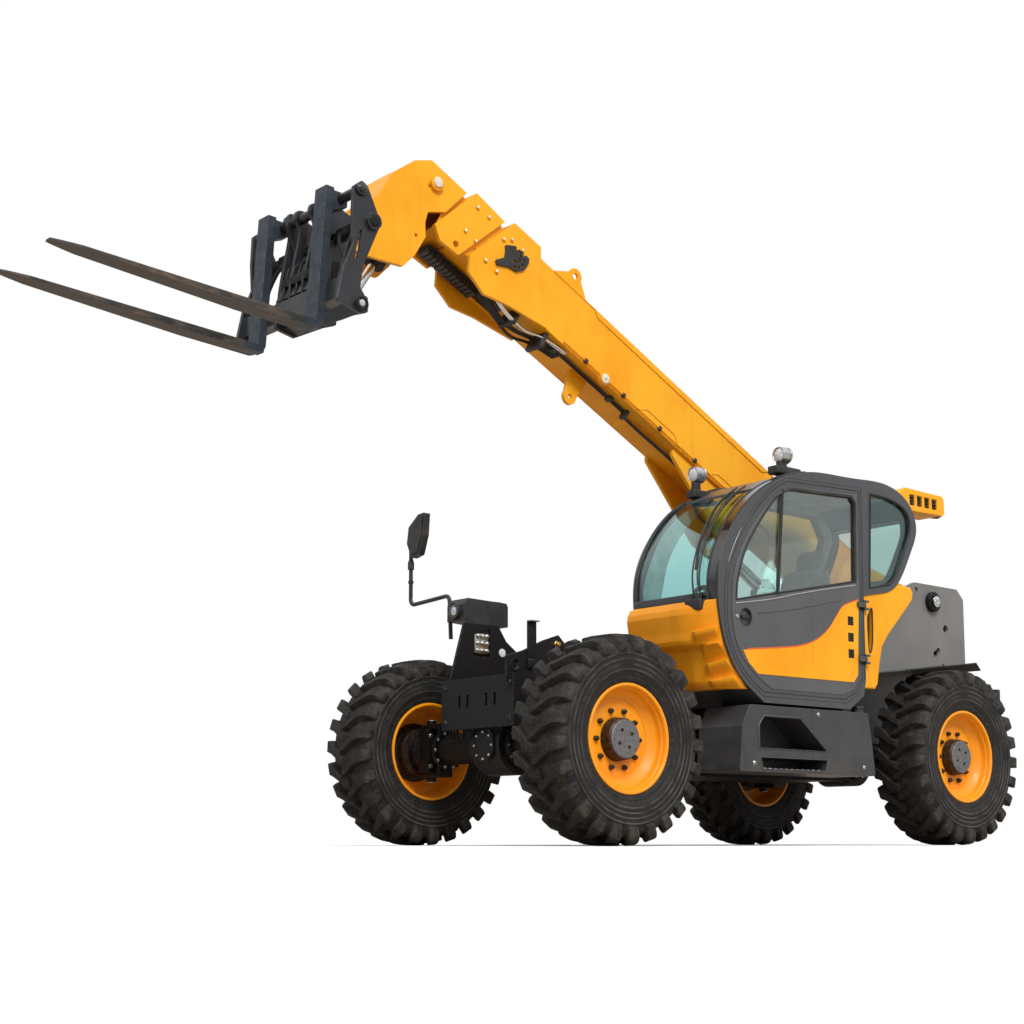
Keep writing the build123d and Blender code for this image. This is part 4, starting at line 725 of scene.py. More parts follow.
def rim_mesh():
    bm = bmesh.new()
    revolved(bm, RIM, 112)
    # the weld bead between disc and barrel, and the valve stem
    weld = [(62.5 + 4 * cos(a), 265.5 + 4 * sin(a)) for a in (0, 1.25, 2.5, 3.75, 5)]
    revolved(bm, weld, 112)
    stem = Matrix.Translation(Vector((296 * cos(0.6), 88, 296 * sin(0.6))) * MM)
    disc_with_rim(bm, stem @ OUTWARD, 6, 45, 2, 14)
    return closed_mesh("rim_dish", bm, "paint_rim", 40)


OUTWARD = Matrix.Rotation(radians(-90), 4, "X")
meshes = {"tyre": tyre_mesh(), "rim": rim_mesh()}
for axle, x in AXLES:
    for s, side in SIDES:
        for kind, data in meshes.items():
            piece = bpy.data.objects.new(f"{kind}_skin_{axle}_{side}", data)
            bpy.context.collection.objects.link(piece)
            turn = pi if side == "right" and kind == "rim" else 0
            spot = Vector((x, s * TYRE_MID, AXLE_Z)) * MM
            piece.matrix_world = Matrix.Translation(spot) @ Matrix.Rotation(turn, 4, "Z")
            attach(piece, f"wheel_{axle}_{side}")
            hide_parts(f"{kind}_{axle}_{side}")

# ---- door and cab side ----
DOOR = smooth_flat((
    (-1328, 1050), (-1152, 1172), (-1009, 1363), (-971, 1600), (-1008, 1886), (-1179, 2192),
    (-1431, 2453), (-1622, 2563),
)) + [(-2418, 2600), (-2405, 1208), (-2330, 1107), (-2200, 1048)]
WINDOW = smooth_flat((
    (-1061, 1669), (-1080, 1812), (-1175, 2047), (-1365, 2298), (-1525, 2455), (-1653, 2512),
)) + [(-2330, 2545), (-2370, 2500), (-2354, 1920)]
QUARTER = smooth_flat((
    (-2557, 2600), (-2786, 2590), (-2980, 2525), (-3030, 2396), (-2950, 2206), (-2847, 2014),
    (-2754, 1937),
)) + [(-2520, 1888)]
PANEL = smooth_flat((
    (-1408, 1072), (-1246, 1160), (-1120, 1270), (-1052, 1380), (-1022, 1500), (-1014, 1640),
    (-1052, 1880), (-1215, 2175), (-1450, 2415), (-1655, 2532),
)) + [(-2392, 2572), (-2388, 1786), (-2366, 1215), (-2300, 1118), (-2175, 1074)]
SWOOSH = smooth_flat((
    (-1113, 1325), (-1292, 1342), (-1501, 1364), (-1716, 1394), (-1892, 1451), (-2029, 1541),
    (-2122, 1643), (-2205, 1723), (-2378, 1784),
))
LOWER_PANEL = SWOOSH + [
    (-2376, 1700), (-2352, 1228), (-2300, 1172), (-1262, 1168), (-1170, 1240),
]
HANDLE_X, HANDLE_Z = -1151, 1554
VENTS = [square(-2280, z, 32, 32) for z in (1620, 1500, 1380)]

openings = [inset(WINDOW, -12), circle(HANDLE_X, HANDLE_Z, 62), *VENTS]
skin("door_inner_panel", [PANEL, *openings], CAB_OUT, CAB_OUT + 4, "paint_door", "door")
skin("door_lower_panel", [LOWER_PANEL, *VENTS], CAB_OUT + 4, CAB_OUT + 7, YELLOW, "door", 1.5)
above = [(x - 4, z + 11) for x, z in SWOOSH]
stripe = SWOOSH[2:] + above[:1:-1]
skin("door_stripe", [stripe], CAB_OUT + 4, CAB_OUT + 6.2, "stripe_red", "door", 0.8)
for k, vent in enumerate(VENTS):
    skin(f"door_vent_{k}", [inset(vent, 2)], CAB_OUT - 7, CAB_OUT - 3, PLASTIC, "door")
    for step in range(3):
        z = vent[0][1] + 14 + 18 * step
        slat = flat([(-2310, z), (-2250, z)], -CAB_OUT - 1)
        bead(f"door_vent_slat_{k}_{step}", slat, 3.5, PLASTIC, "door")

TRIM_LINE = (
    (-1046, 1640), (-1250, 1672), (-1471, 1712), (-1640, 1752), (-2000, 1826), (-2345, 1890),
)
CREASE = ((-1270, 1588), (-1600, 1640), (-1900, 1700), (-2180, 1762))
bead("door_window_seal", flat(WINDOW, -CAB_OUT + 2), 9, RUBBER, "door", closed=True)
bead("door_gap_seal", flat(inset(DOOR, -4), -CAB_OUT + 4), 5.5, closed=True)
bead("quarter_window_seal", flat(QUARTER, -CAB_OUT + 1), 10, closed=True)
bead("cab_side_crease", flat(inset(DOOR, -30), -CAB_OUT), 3, GLOSS, closed=True)
bead("door_window_trim", flat(TRIM_LINE, -CAB_OUT - 6), 4.5, TRIM, "door", per=6)
bead("door_crease", flat(CREASE, -CAB_OUT - 3), 4, GLOSS, "door", per=6)
bead("door_post_seal", flat([(-1494, 1735), (-1566, 2500)], -CAB_OUT + 1), 11, RUBBER, "door")
# grip in its cup, with the key barrel
CUP = [(-12, 61), (3, 66), (6, 63), (5, 57), (-10, 52)]
turned("door_handle_cup", [CUP], 48, "Y", (HANDLE_X, CAB_OUT, HANDLE_Z), PLASTIC, "door")
grip = [[HANDLE_X + s * 40, CAB_OUT + s * 6, HANDLE_Z + s * 14] for s in (-1, 1)]
boxes("door_handle_grip", [grip], RUBBER, "door", bevel=5)
key = Vector((HANDLE_X + 92, CAB_OUT + 3, HANDLE_Z - 4)) * MM
caps("door_key_barrel", [FRONT @ Matrix.Translation(key) @ OUTWARD], 14, 10, TRIM, "door", 3, 28)

# windscreen: the black border, two wipers on the left and their motor cover
SCREEN = (
    (-884, 1690), (-880, 1760), (-892, 1874), (-955, 2040), (-1045, 2196), (-1140, 2312),
    (-1246, 2407), (-1400, 2500),
)
for side, y in (("right", CAB_IN + 30), ("left", CAB_OUT - 90)):
    bead(f"screen_seal_{side}", flat(SCREEN, -y), 11, per=6)
sill = ((-893, CAB_IN + 12, 1640), (-868, CAB_OUT - 75, 1715))
boxes("screen_sill", [sill], GLOSS, bevel=8)
boxes("wiper_motor_cover", [
    ((-900, 925, 1585), (-800, 1075, 1665), 16, 3),
    ((-850, 955, 1640), (-815, 985, 1700)),
    ((-850, 1015, 1640), (-815, 1045, 1700)),
], PLASTIC, bevel=8)
WIPERS = (
    # at the foot and at the tip across the screen, how far it stands off, radius, first point
    (972, 905, 30, 6.5, 0),
    (1030, 985, 30, 6.5, 0),
    (1000, 935, 20, 4.5, 1),
)
for k, (foot_y, tip_y, proud, radius, first) in enumerate(WIPERS):
    reach = SCREEN[first:]
    path = []
    for i, (x, z) in enumerate(reach):
        share = i / (len(reach) - 1)
        y = foot_y + (tip_y - foot_y) * share
        path.append((x + proud * (1 - 0.4 * share), z + proud * share, -y))
    bead(f"wiper_arm_{k}", path, radius, PLASTIC, per=6)
blade = [(x + 12, z + 6, 20 * i - 965) for i, (x, z) in enumerate(SCREEN[2:])]
bead("wiper_blade", blade, 9, per=6)

# ---- panels round the cab: nose, cowl and intake box ----
CAB_EDGE = (
    (1060, -1172), (1092, -1149), (1160, -1092), (1250, -1022), (1358, -951), (1480, -914),
    (1600, -893), (1700, -880),
)
NOSE_FRONT = (
    (1060, -990), (1085, -945), (1110, -930), (1330, -890), (1355, -805), (1385, -792),
    (1440, -788), (1560, -768), (1600, -776), (1640, -800), (1655, -830),
)
NOSE_IN, NOSE_BEND, NOSE_OUT = 352, 895, 1157  # the nose's y at the boom, the corner, the cab
CORNER = 0.60  # share of the way across at which the corner is
NOSE_LOW, NOSE_HIGH = 1062, 1655
LEDGES = (1478, 1372, 1262, 1152)
LEDGE_SLOPE, LEDGE_OUT = 55, 40  # how far a ledge falls across the side, and stands out
NOSE_ROWS, NOSE_COLUMNS = 120, 72


def between(table, value):
    """The table's second value at the first, along straight runs."""
    for (a, at_a), (b, at_b) in zip(table, table[1:]):
        if value <= b:
            return at_a + (at_b - at_a) * max(0.0, (value - a) / (b - a))
    return table[-1][1]


def eased(value, low, high):
    t = min(1.0, max(0.0, (value - low) / (high - low)))
    return t * t * (3 - 2 * t)


def nose_point(across, z):
    """A point of the nose: across is 0 at the boom's side and 1 where it meets the cab."""
    x, y = between(NOSE_FRONT, z), NOSE_IN + (NOSE_BEND - NOSE_IN) * across / CORNER
    t = (across - CORNER) / (1 - CORNER)
    if t >= 0:
        x += (between(CAB_EDGE, z) + 4 - x) * (0.35 * t + 0.65 * t * t)
        y = NOSE_BEND + (NOSE_OUT - NOSE_BEND) * (1.25 * t - 0.25 * t * t)
        # ledges, each standing out at its top and running back below
        ledge = 0.0
        for top in LEDGES:
            drop = top - LEDGE_SLOPE * (1 - t) - z
            ledge += eased(drop, -3, 4) * (1 - eased(drop, 20, 90))
        ledge *= eased(t, 0.30, 0.36) * (1 - eased(t, 0.88, 0.93)) * LEDGE_OUT
        x += ledge * 0.75
        y += ledge * 0.65
    # rounded shoulder at the boom's side
    return Vector((x - 50 * (1 - eased(across, 0.0, 0.06)), y, z))


bm = bmesh.new()
rows = []
for i in range(NOSE_ROWS + 1):
    z = NOSE_LOW + (NOSE_HIGH - NOSE_LOW) * i / NOSE_ROWS
    spots = [nose_point(j / NOSE_COLUMNS, z) for j in range(NOSE_COLUMNS + 1)]
    rows.append([bm.verts.new(spot * MM) for spot in spots])
for here, there in zip(rows, rows[1:]):
    join(bm, here, there)
# returns at the top, the foot and the boom's side
first = [row[0] for row in rows]
for line, by in ((rows[-1], (-90, -4, 3)), (rows[0], (-100, -10, 2)), (first, (-100, 0, 0))):
    join(bm, line, [bm.verts.new(vert.co + Vector(by) * MM) for vert in line])
# the nose takes the yellow paint with painted shade in it
nose = from_bmesh("nose_panel", bm, "paint_nose", "chassis", FRONT)
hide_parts("cab_panels")
edge = [nose_point(1, 1075 + 580 * i / 24) + Vector((2, 4, 0)) for i in range(25)]
bead("nose_edge", edge, 6, matrix=FRONT)

COWL = (
    (-2430, 1838), (-2560, 1862), (-2680, 1888), (-2810, 1932), (-2920, 1948), (-3030, 1944),
    (-3062, 1905), (-3050, 1846), (-2900, 1700), (-2750, 1560), (-2668, 1462), (-2632, 1330),
    (-2604, 1180), (-2570, 1140), (-2430, 1140),
)
SLOT = smooth_flat((
    (-2500, 1640), (-2520, 1700), (-2548, 1738), (-2560, 1700), (-2556, 1520), (-2540, 1430),
    (-2512, 1420),
), 5, True)
skin("cowl_panel", [COWL, SLOT], CAB_OUT - 55, CAB_OUT - 8, YELLOW, bevel=14)
skin("cowl_back", [inset(COWL, 20)], CAB_OUT - 245, CAB_OUT - 60, PLASTIC, bevel=10)
bead("cowl_slot_seal", flat(SLOT, -CAB_OUT + 12), 5, closed=True)
BOX = (
    (-2985, 2640), (-3060, 2705), (-3130, 2748), (-3600, 2738), (-3628, 2715), (-3632, 2600),
    (-3600, 2576), (-3050, 2566),
)
LOUVRE_PITCH = 95
louvres = [square(-3215 - LOUVRE_PITCH * k, 2658, 32, 40) for k in range(4)]
skin("intake_box_left", [BOX, *louvres], 1040, 1070, YELLOW, bevel=8)
skin("intake_box", [inset(BOX, 3)], 832, 1046, YELLOW, bevel=10)
skin("intake_grille", [square(-3358, 2658, 185, 42)], 1044, 1050, PLASTIC, bevel=1)
for k in range(4):
    for step in range(3):
        slat = [(x - LOUVRE_PITCH * k, 2632 + 26 * step, -1060) for x in (-3186, -3244)]
        bead(f"intake_slat_{k}_{step}", slat, 5, PLASTIC)
CAP = [
    (10, 0), (10, 58), (-10, 62), (-14, 71), (-30, 72), (-34, 64), (-46, 64), (-50, 70),
    (-70, 68), (-82, 58), (-86, 20), (-86, 0),
]
turned("intake_cap", [CAP], 48, "X", (-3630, 950, 2655), PLASTIC, closed=False)

# ---- roof: hatch and work lamps ----
boxes("roof_hatch", [
    ((-2620, 460, 2660), (-1980, 1060, 2703), 20),
    ((-2560, 520, 2690), (-2040, 1000, 2712), 12),
], CAB, segments=3)
boxes("roof_lamp_brackets", [
    ((-1860, 1000, 2640), (-1600, 1100, 2700), 14, 3),
    ((-1740, 1030, 2690), (-1660, 1070, 2745), 8),
    ((-1560, 405, 2530), (-1380, 495, 2590), 14, 3),
    ((-1475, 432, 2570), (-1405, 468, 2665), 8),
], PLASTIC)
LAMP_BODY = [
    (62, 46), (66, 50), (64, 56), (40, 57.5), (-2, 58.5), (-30, 52), (-50, 34), (-56, 18),
    (-56, 0), (52, 0), (52, 43),
]
LAMP_LENS = [(58, 47), (63, 40), (68, 25), (70, 0.1)]
LAMP_CLIP = [(-12, 58), (-12, 61), (-26, 61), (-26, 54)]
bodies, lenses = bmesh.new(), bmesh.new()
for centre in ((-1470, 450, 2710), (-1730, 1050, 2790)):
    revolved(bodies, LAMP_BODY, 44, "X", centre, False)
    revolved(lenses, LAMP_LENS, 44, "X", centre, False)
    revolved(bodies, LAMP_CLIP, 44, "X", centre)
from_bmesh("work_lamp_bodies", bodies, TRIM, "chassis", FRONT)
from_bmesh("work_lamp_lenses", lenses, "lens_white", "chassis", FRONT)


# ---- driver's seat, measured from its middle, and steering wheel ----
SQUARENESS = 0.34  # power that turns a ball into a cushion: 1 leaves it round, 0 makes a box
SEAM_DEPTH, SEAM_HALF = 0.10, 0.055  # shares of the cushion's half height and half width


def cushion(name, low, high, crown, channels, lean=0.0):
    """A crowned cushion with sewn channels: soft edges, sides drawn in between the corners."""
    bm = bmesh.new()
    low, high = (Vector(corner) * MM for corner in (low, high))
    size, middle = (high - low) / 2, (high + low) / 2
    sphere = bmesh.ops.create_uvsphere(bm, u_segments=60, v_segments=30, radius=1)
    for vert in sphere["verts"]:
        q = Vector([abs(v) ** SQUARENESS * (1 if v > 0 else -1) for v in vert.co])
        q *= 1 / max(1.0, max(abs(v) for v in q))
        edge = max(abs(q.x), abs(q.y))
        rise = 1 - crown * edge**4
        for at in channels:
            channel = max(0.0, 1 - abs(q.y - at) / SEAM_HALF)
            rise -= SEAM_DEPTH * channel * (1 - edge**6)
        pull = 1 - 0.035 * (1 - abs(q.z)) * cos(q.x * 1.5) - 0.02 * cos(q.y * 1.5)
        vert.co = (q.x * size.x * pull, q.y * size.y * pull, q.z * size.z * rise)
    turn = Matrix.Translation(middle) @ Matrix.Rotation(lean, 4, "Y")
    bmesh.ops.transform(bm, matrix=turn, verts=bm.verts)
    piece = from_bmesh(name, bm, "seat_cloth", "chassis", SEAT)
    return piece


SEAT = FRONT @ Matrix.Translation((-1940 * MM, 0, 0))
SEAMS = (-0.45, 0.0, 0.45)
LEAN = radians(78)
pad = cushion("seat_cushion", (-260, 525, 1335), (260, 995, 1445), 0.30, SEAMS)
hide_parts("driver_seat")
cushion("seat_back", (-600, 535, 1700), (0, 985, 1800), 0.30, SEAMS, LEAN)
cushion("seat_head_rest", (-500, 645, 2050), (-300, 875, 2130), 0.25, (), LEAN)
bellows = []
for k in range(5):
    half, z = 170 - 8 * (k % 2), 1125 + 30 * k
    bellows.append(((-half, 635, z), (half, 885, z + 26), 11))
boxes("seat_frame", [
    ((-210, 600, 1026), (190, 920, 1120), 20), *bellows,
    ((-230, 580, 1278), (220, 940, 1338), 16), ((-200, 490, 1330), (-120, 530, 1700), 12),
    ((-180, 480, 1590), (180, 535, 1640), 18),
], CONSOLE, matrix=SEAT)
stick = [(140, 508, 1640), (145, 508, 1700), (155, 508, 1760)]
bead("seat_joystick", stick, 16, matrix=SEAT, per=5)
AXIS = Vector((-0.55, 0, 0.835))  # of the steering column
wheel = facing(Vector((-1180, 760, 1500)) + AXIS * 250, AXIS)
boss = wheel @ Matrix.Translation((0, 0, -12 * MM))
caps("steering_boss", [boss], 55, 30, CONSOLE, roll=10)
grip = [wheel @ (Vector((x, y, 0)) * MM) / MM for x, y in circle_of(48, 178)]
bead("steering_wheel_grip", grip, 16.5, matrix=None, closed=True, sides=5)

# ---- boom, measured along it from its pin ----
BASE_BOLTS = ((-31, -103), (-141, -108), (91, -394), (-24, -400), (30, -150))
MIDDLE_BOLTS = ((308, -89), (198, -84), (319, -310), (214, -318))
COLLAR = 25  # thickness of the mouth's collar plate


def boom_bolts(spots, y):
    """Outward frames on both sides at spots measured from the base section's mouth."""
    return [at for u, v in spots for at in flanks(BOOM, BOOM_MOUTH + u, v, y)]


heads = boom_bolts(BASE_BOLTS, BOOM_HALF + COLLAR + 11)
caps("base_pad_bolts", heads, 10.5, 3.5, IVORY, "base_boom", 1)
heads = boom_bolts(MIDDLE_BOLTS, BOOM_HALF + 21)
caps("middle_pad_bolts", heads, 10.5, 3.5, IVORY, "middle_boom", 1)
washers = boom_bolts(BASE_BOLTS, BOOM_HALF + COLLAR)
caps("base_pad_washers", washers, 21, 3, YELLOW, "base_boom", 1, 24)
BOOM_CAPS = (
    # name, place beside the boom, radius, depth, material, body, roll
    ("tilt_pin_caps", (BOOM_MOUTH + 660, -168, 185), 36, 12, IVORY, "head_boom", 3),
    ("chain_pin_caps", (BOOM_MOUTH - 1202, -455, 205), 36, 6, IVORY, "base_boom", 3),
    ("chain_pin_screws", (BOOM_MOUTH - 1202, -455, 209), 9, 5, ZINC, "base_boom", 2),
    ("lift_eye_caps", (0.426 * BOOM_MOUTH, -760, 165), 34, 5, ZINC, "base_boom", 3),
)
for name, spot, *look in BOOM_CAPS:
    caps(name, flanks(BOOM, *spot), *look)
nipples = boom_bolts(((700, -215), (1034, -800)), 160)
caps("head_grease_points", nipples, 7, 12, BRASS, "head_boom", 2)
COLLAR_WELD = [(BOOM_MOUTH - 270, -26), (BOOM_MOUTH - 440, -300), (BOOM_MOUTH - 580, -462)]
SEAMS_AND_WELDS = [
    # name, points beside the boom, how far off its side, radius
    ("seam_upper", [(620, -27), (BOOM_MOUTH - 460, -27)], 1, 4.5),
    ("seam_lower", [(620, -458), (BOOM_MOUTH - 460, -458)], 1, 4.5),
    ("collar_weld", COLLAR_WELD, 2, 7),
    ("tail_weld", [(600, -30), (600, -455)], 2, 7),
] + [
    (f"stiffener_{k}", [(u, -452), (u + 100, -380), (u + 420, -380), (u + 520, -452)], 2, 4)
    for k, u in enumerate((1250, 2100, 2950))
]
for s, side in SIDES:
    for name, points, off, radius in SEAMS_AND_WELDS:
        line = flat(points, -s * (BOOM_HALF + off))
        bead(f"{name}_{side}", line, radius, YELLOW, "base_boom", BOOM)
# hoses and steel pipes that go into the boom through the opening under its mouth
PIPES = ((20, 13, RUBBER), (48, 13, RUBBER), (118, 9, CHROME), (138, 9, CHROME), (-5, 11, RUBBER))
for k, (y, radius, material) in enumerate(PIPES):
    route = flat([
        (4200, -476), (4420, -492 - 6 * k), (4600, -545 - 10 * k), (4760, -560), (4900, -520),
        (4980, -480),
    ], -y)
    bead(f"mouth_hose_{k}", route, radius, material, "base_boom", BOOM, 6)
clamps = [((u, -585, -150), (u + 35, -462, 20)) for u in (4400, 4680)]
boxes("mouth_hose_clamps", clamps, PLASTIC, "base_boom", BOOM, 8)
pipe = [(2050, -446, -180), (2300, -440, -182), (4100, -440, -182), (4260, -452, -180)]
bead("boom_side_pipe", pipe, 6, YELLOW, "base_boom", BOOM, 5)
clips = [((u, -456, -194), (u + 30, -424, -170)) for u in range(2350, 4100, 420)]
boxes("side_pipe_clips", clips, PLASTIC, "base_boom", BOOM)
guides = [((BOOM_MOUTH + 345, -335, low), (BOOM_MOUTH + 362, -80, low + 75)) for low in (-120, 45)]
boxes("mouth_guides", guides, STEEL_PIN, "middle_boom", BOOM)
# hoses at the tail, and the block in which they end
for k in range(4):
    y = -90 + 60 * k
    line = [(660, -150 - 30 * (k % 2), -y), (460, -200, -y), (360, -270, -y), (290, -330, -y * 0.9)]
    bead(f"tail_hose_{k}", line, 14, RUBBER, "base_boom", BOOM, 6)
block = ((262, -376, -161.5), (322, -318, 161.5))
boxes("tail_port_block", [block], BLACK, "base_boom", BOOM, 6)

# ---- tower, counterweight and rear fenders ----
LIFT_FOOT = (300, 1150)
REAR_LENSES = (
    ("tail", 1070, 1145, "lens_red"), ("turn", 1150, 1215, "lens_amber"),
    ("reverse", 1220, 1290, "lens_white"),
)


def beside(s, spots, y, matrix=PIVOT):
    """Frames that face outwards at (x, z) spots on one side."""
    return [facing((x, s * y, z), (0, s, 0), matrix) for x, z in spots]


for s, side in SIDES:
    caps(f"pivot_pin_face_{side}", beside(s, [(0, PIVOT_Z)], 423), 47, 3, CHROME, roll=2)
    spots = [(22, PIVOT_Z), (-11, PIVOT_Z + 19), (-11, PIVOT_Z - 19)]
    bolted(f"pivot_pin_bolts_{side}", beside(s, spots, 426), 8.5, 6, ZINC)
    ring = [(400, 52), (400, 82), (405, 80), (407, 72), (407, 56)]
    ring = [(s * across, radius) for across, radius in ring]
    turned(f"pivot_ring_{side}", [ring], 64, "Y", (0, 0, PIVOT_Z), BLACK, matrix=PIVOT)
    spots = [(LIFT_FOOT[0] + x, LIFT_FOOT[1] + z) for x, z in circle_of(4, 64)]
    bolted(f"lift_foot_bolts_{side}", beside(s, spots, 365), 13, 10, ZINC)
    caps(f"lift_foot_cap_{side}", beside(s, [LIFT_FOOT], 365), 50, 8, BLACK)
    boxes(f"rear_lamp_{side}", [
        ((-454, s * 660 - 45, 1060), (-400, s * 660 + 45, 1300), 8),
        ((-420, s * 630 - 35, 1150), (-395, s * 630 + 35, 1210), 4),
    ], PLASTIC, matrix=PIVOT)
    for part, low, high, material in REAR_LENSES:
        span = ((-459.5, s * 660 - 38, low), (-448, s * 660 + 38, high))
        boxes(f"rear_{part}_lens_{side}", [span], material, matrix=PIVOT, segments=3)
    ballast = beside(s, [(-350, 860), (-350, 1250)], 620)
    bolted(f"counterweight_bolts_{side}", ballast, 24, 16, ZINC)
    lip = [(430, s * 996, 1331), (-488, s * 996, 1447), (-541, s * 996, 1393)]
    bead(f"fender_lip_{side}", lip, 7, matrix=REAR)
    rib = [(360, s * 720, 1342), (-460, s * 720, 1449)]
    bead(f"fender_rib_{side}", rib, 6, PLASTIC, matrix=REAR)
panels = [((-438, -250, z), (-428, 250, z + 120)) for z in (1300, 1470, 1640)]
boxes("rear_access_panels", panels, BLACK, matrix=PIVOT)
spots = [(-437, y, z) for z in (1360, 1530, 1700) for y in (-225, 225)]
bolted("rear_panel_bolts", [facing(spot, (-1, 0, 0), PIVOT) for spot in spots], 10, 8, ZINC)
eye = [(-432, -50, 1245), (-448, -40, 1225), (-448, 40, 1225), (-432, 50, 1245)]
bead("tow_eye", eye, 7, ZINC, matrix=PIVOT, per=5)
# hoses that rise from the frame between the cab and the tower
for k in range(4):
    x, y = -2720 - 45 * k, 400 + 50 * k
    line = [
        (x, y, 1000), (x - 20, y + 20, 1220), (x - 70, y, 1420), (x - 200, y - 50, 1500),
        (x - 340, y - 40, 1400),
    ]
    bead(f"frame_hose_{k}", line, 14, matrix=FRONT, per=6)
    end = facing((x - 18, y + 18, 1200), (-0.1, 0, 1))
    bolted(f"frame_hose_end_{k}", [end], 18, 40, ZINC)

# ---- front plates, headlight and mirror ----
boss = [(354, 31), (361, 34), (361, 44), (355, 47), (354.5, 47)]
turned("front_plate_boss", [boss], 40, "Y", (228, 0, 1199), BLACK)
bolted("brass_fitting", [facing((-143, 355, 1361), (0, 1, 0))], 18, 30, BRASS)
corners = [facing((270, y, z), (1, 0, 0)) for y in (-347, 347) for z in (840, 1080)]
bolted("cross_plate_bolts", corners, 16.5, 12, BLACK)
caps("right_plate_disc", [facing((-236, -335, 1367), (0, 1, 0))], 30, 6, "lens_white")
HEADLIGHT = (0, -472.5, 1655)
HEADLIGHT_PARTS = (
    # name, profile, segments, material, whether the profile is a closed ring
    ("bezel", [(98, 50), (104, 54), (104, 59), (92, 61), (84, 58), (84, 50)], 56, PLASTIC, True),
    ("lens", [(99, 51), (106, 40), (110, 22), (111, 0.1)], 56, "glass_clear", False),
    ("reflector", [(98.5, 30), (100, 24), (103, 12), (104, 0.1)], 40, CHROME, False),
)
for part, profile, segments, material, closed in HEADLIGHT_PARTS:
    name = f"headlight_{part}"
    turned(name, [profile], segments, "X", HEADLIGHT, material, closed=closed)
ribs = [((-285, y, 1728), (30, y + 12, 1744)) for y in range(-545, -400, 34)]
boxes("headlight_box_ribs", ribs, GLOSS)
# flat bar with a bent top on the left plate, and a closed window with fittings on the right one
bars = [((45, 355, 1180), (125, 364, 1500)), ((45, 355, 1180), (125, 372, 1240))]
boxes("front_bar", bars, BLACK, bevel=3)
boxes("front_bar_top", [((45, 355, 1496), (125, 400, 1505))], ZINC, bevel=3)
boxes("right_plate_backing", [((-150, -372, 1300), (50, -356, 1550))], BLACK)
boxes("valve_block", [((-115, -356, 1350), (12, -340, 1492))], TRIM)
bm = bmesh.new()
for x in (-16, -56, -96):
    for z in (1370, 1422, 1474):
        spot = facing((x, -356, z), (0, 1, 0))
        disc_with_rim(bm, spot, 15, 28, 3, 20)
        hex_head(bm, spot @ Matrix.Translation((0, 0, 26 * MM)), 12, 12)
from_bmesh("valve_fittings", bm, ZINC, "chassis")
MIRROR = (
    (-1092, 2230), (-1072, 2350), (-955, 2432), (-872, 2438), (-888, 2270), (-940, 2130),
    (-1035, 2112),
)
# local x to the left, local y up, local z backwards
BACKWARD = Matrix(((0, 0, -1, FRONT_X * MM), (1, 0, 0, 0), (0, 1, 0, 0), (0, 0, 0, 1)))
plate("mirror_glass", [inset(MIRROR, 14)], -12, -7, "mirror_silver", "chassis", BACKWARD, 1)
plate("mirror_shell", [inset(MIRROR, 22)], -66, -56, PLASTIC, "chassis", BACKWARD, 4)
rim = [(9, y, z) for y, z in inset(MIRROR, 8)]
bead("mirror_rim", rim, 6, matrix=FRONT, closed=True)
clamp = [
    [(2035, 16), (2035, 24), (2085, 24), (2110, 16)],
    [(1930, 16), (1930, 20), (1950, 20), (1950, 16)],
]
turned("mirror_clamp", clamp, 24, "Z", (30, -1075, 0), PLASTIC)

# ---- axles ----
FLANGES = (
    [(150, 106), (150, 150), (172, 150), (180, 140), (180, 106)],
    [(640, 106), (640, 138), (668, 138), (668, 106)],
)
for (axle, _), matrix in zip(AXLES, (FRONT, REAR)):
    profiles = [[(s * a, radius) for a, radius in flange] for s in BOTH for flange in FLANGES]
    name = f"axle_flanges_{axle}"
    turned(name, profiles, 48, "Y", (0, 0, AXLE_Z), BLACK, matrix=matrix)
    heads = []
    for s in BOTH:
        for x, z in circle_of(10):
            spot = (130 * x, s * 176, AXLE_Z + 130 * z)
            heads.append(facing(spot, (0, s, 0), matrix))
            spot = (122 * x, s * 640, AXLE_Z + 122 * z)
            heads.append(facing(spot, (0, -s, 0), matrix))
    bolted(f"axle_bolts_{axle}", heads, 10, 9, STEEL_PIN)
    covers = [facing((way * 199, 0, AXLE_Z), (way, 0, 0), matrix) for way in BOTH]
    caps(f"differential_covers_{axle}", covers, 112, 16, BLACK, roll=8)
    spots = [Matrix.Translation(Vector((x, y, 14)) * MM) for x, y in circle_of(8, 92)]
    studs = [cover @ spot for cover in covers for spot in spots]
    bolted(f"differential_bolts_{axle}", studs, 9, 8, STEEL_PIN)
    for s, side in SIDES:
        route = ((-20, 200, 160), (-80, 340, 135), (-50, 500, 112), (-20, 620, 130))
        line = [(x, s * y, AXLE_Z + up) for x, y, up in route]
        bead(f"brake_hose_{axle}_{side}", line, 8, matrix=matrix, per=6)
        corners = [(x, s * 780, AXLE_Z + z) for x in (-60, 60) for z in (-110, 110)]
        bolts = [facing(corner, (0, -s, 0), matrix) for corner in corners]
        knuckle = f"knuckle_{axle}_{side}"
        bolted(f"knuckle_bolts_{axle}_{side}", bolts, 13, 10, STEEL_PIN, knuckle)
        ends = [facing((0, s * 850, AXLE_Z + t * 220.5), (0, 0, t), matrix) for t in BOTH]
        caps(f"kingpin_caps_{axle}_{side}", ends, 32, 6, STEEL_PIN)

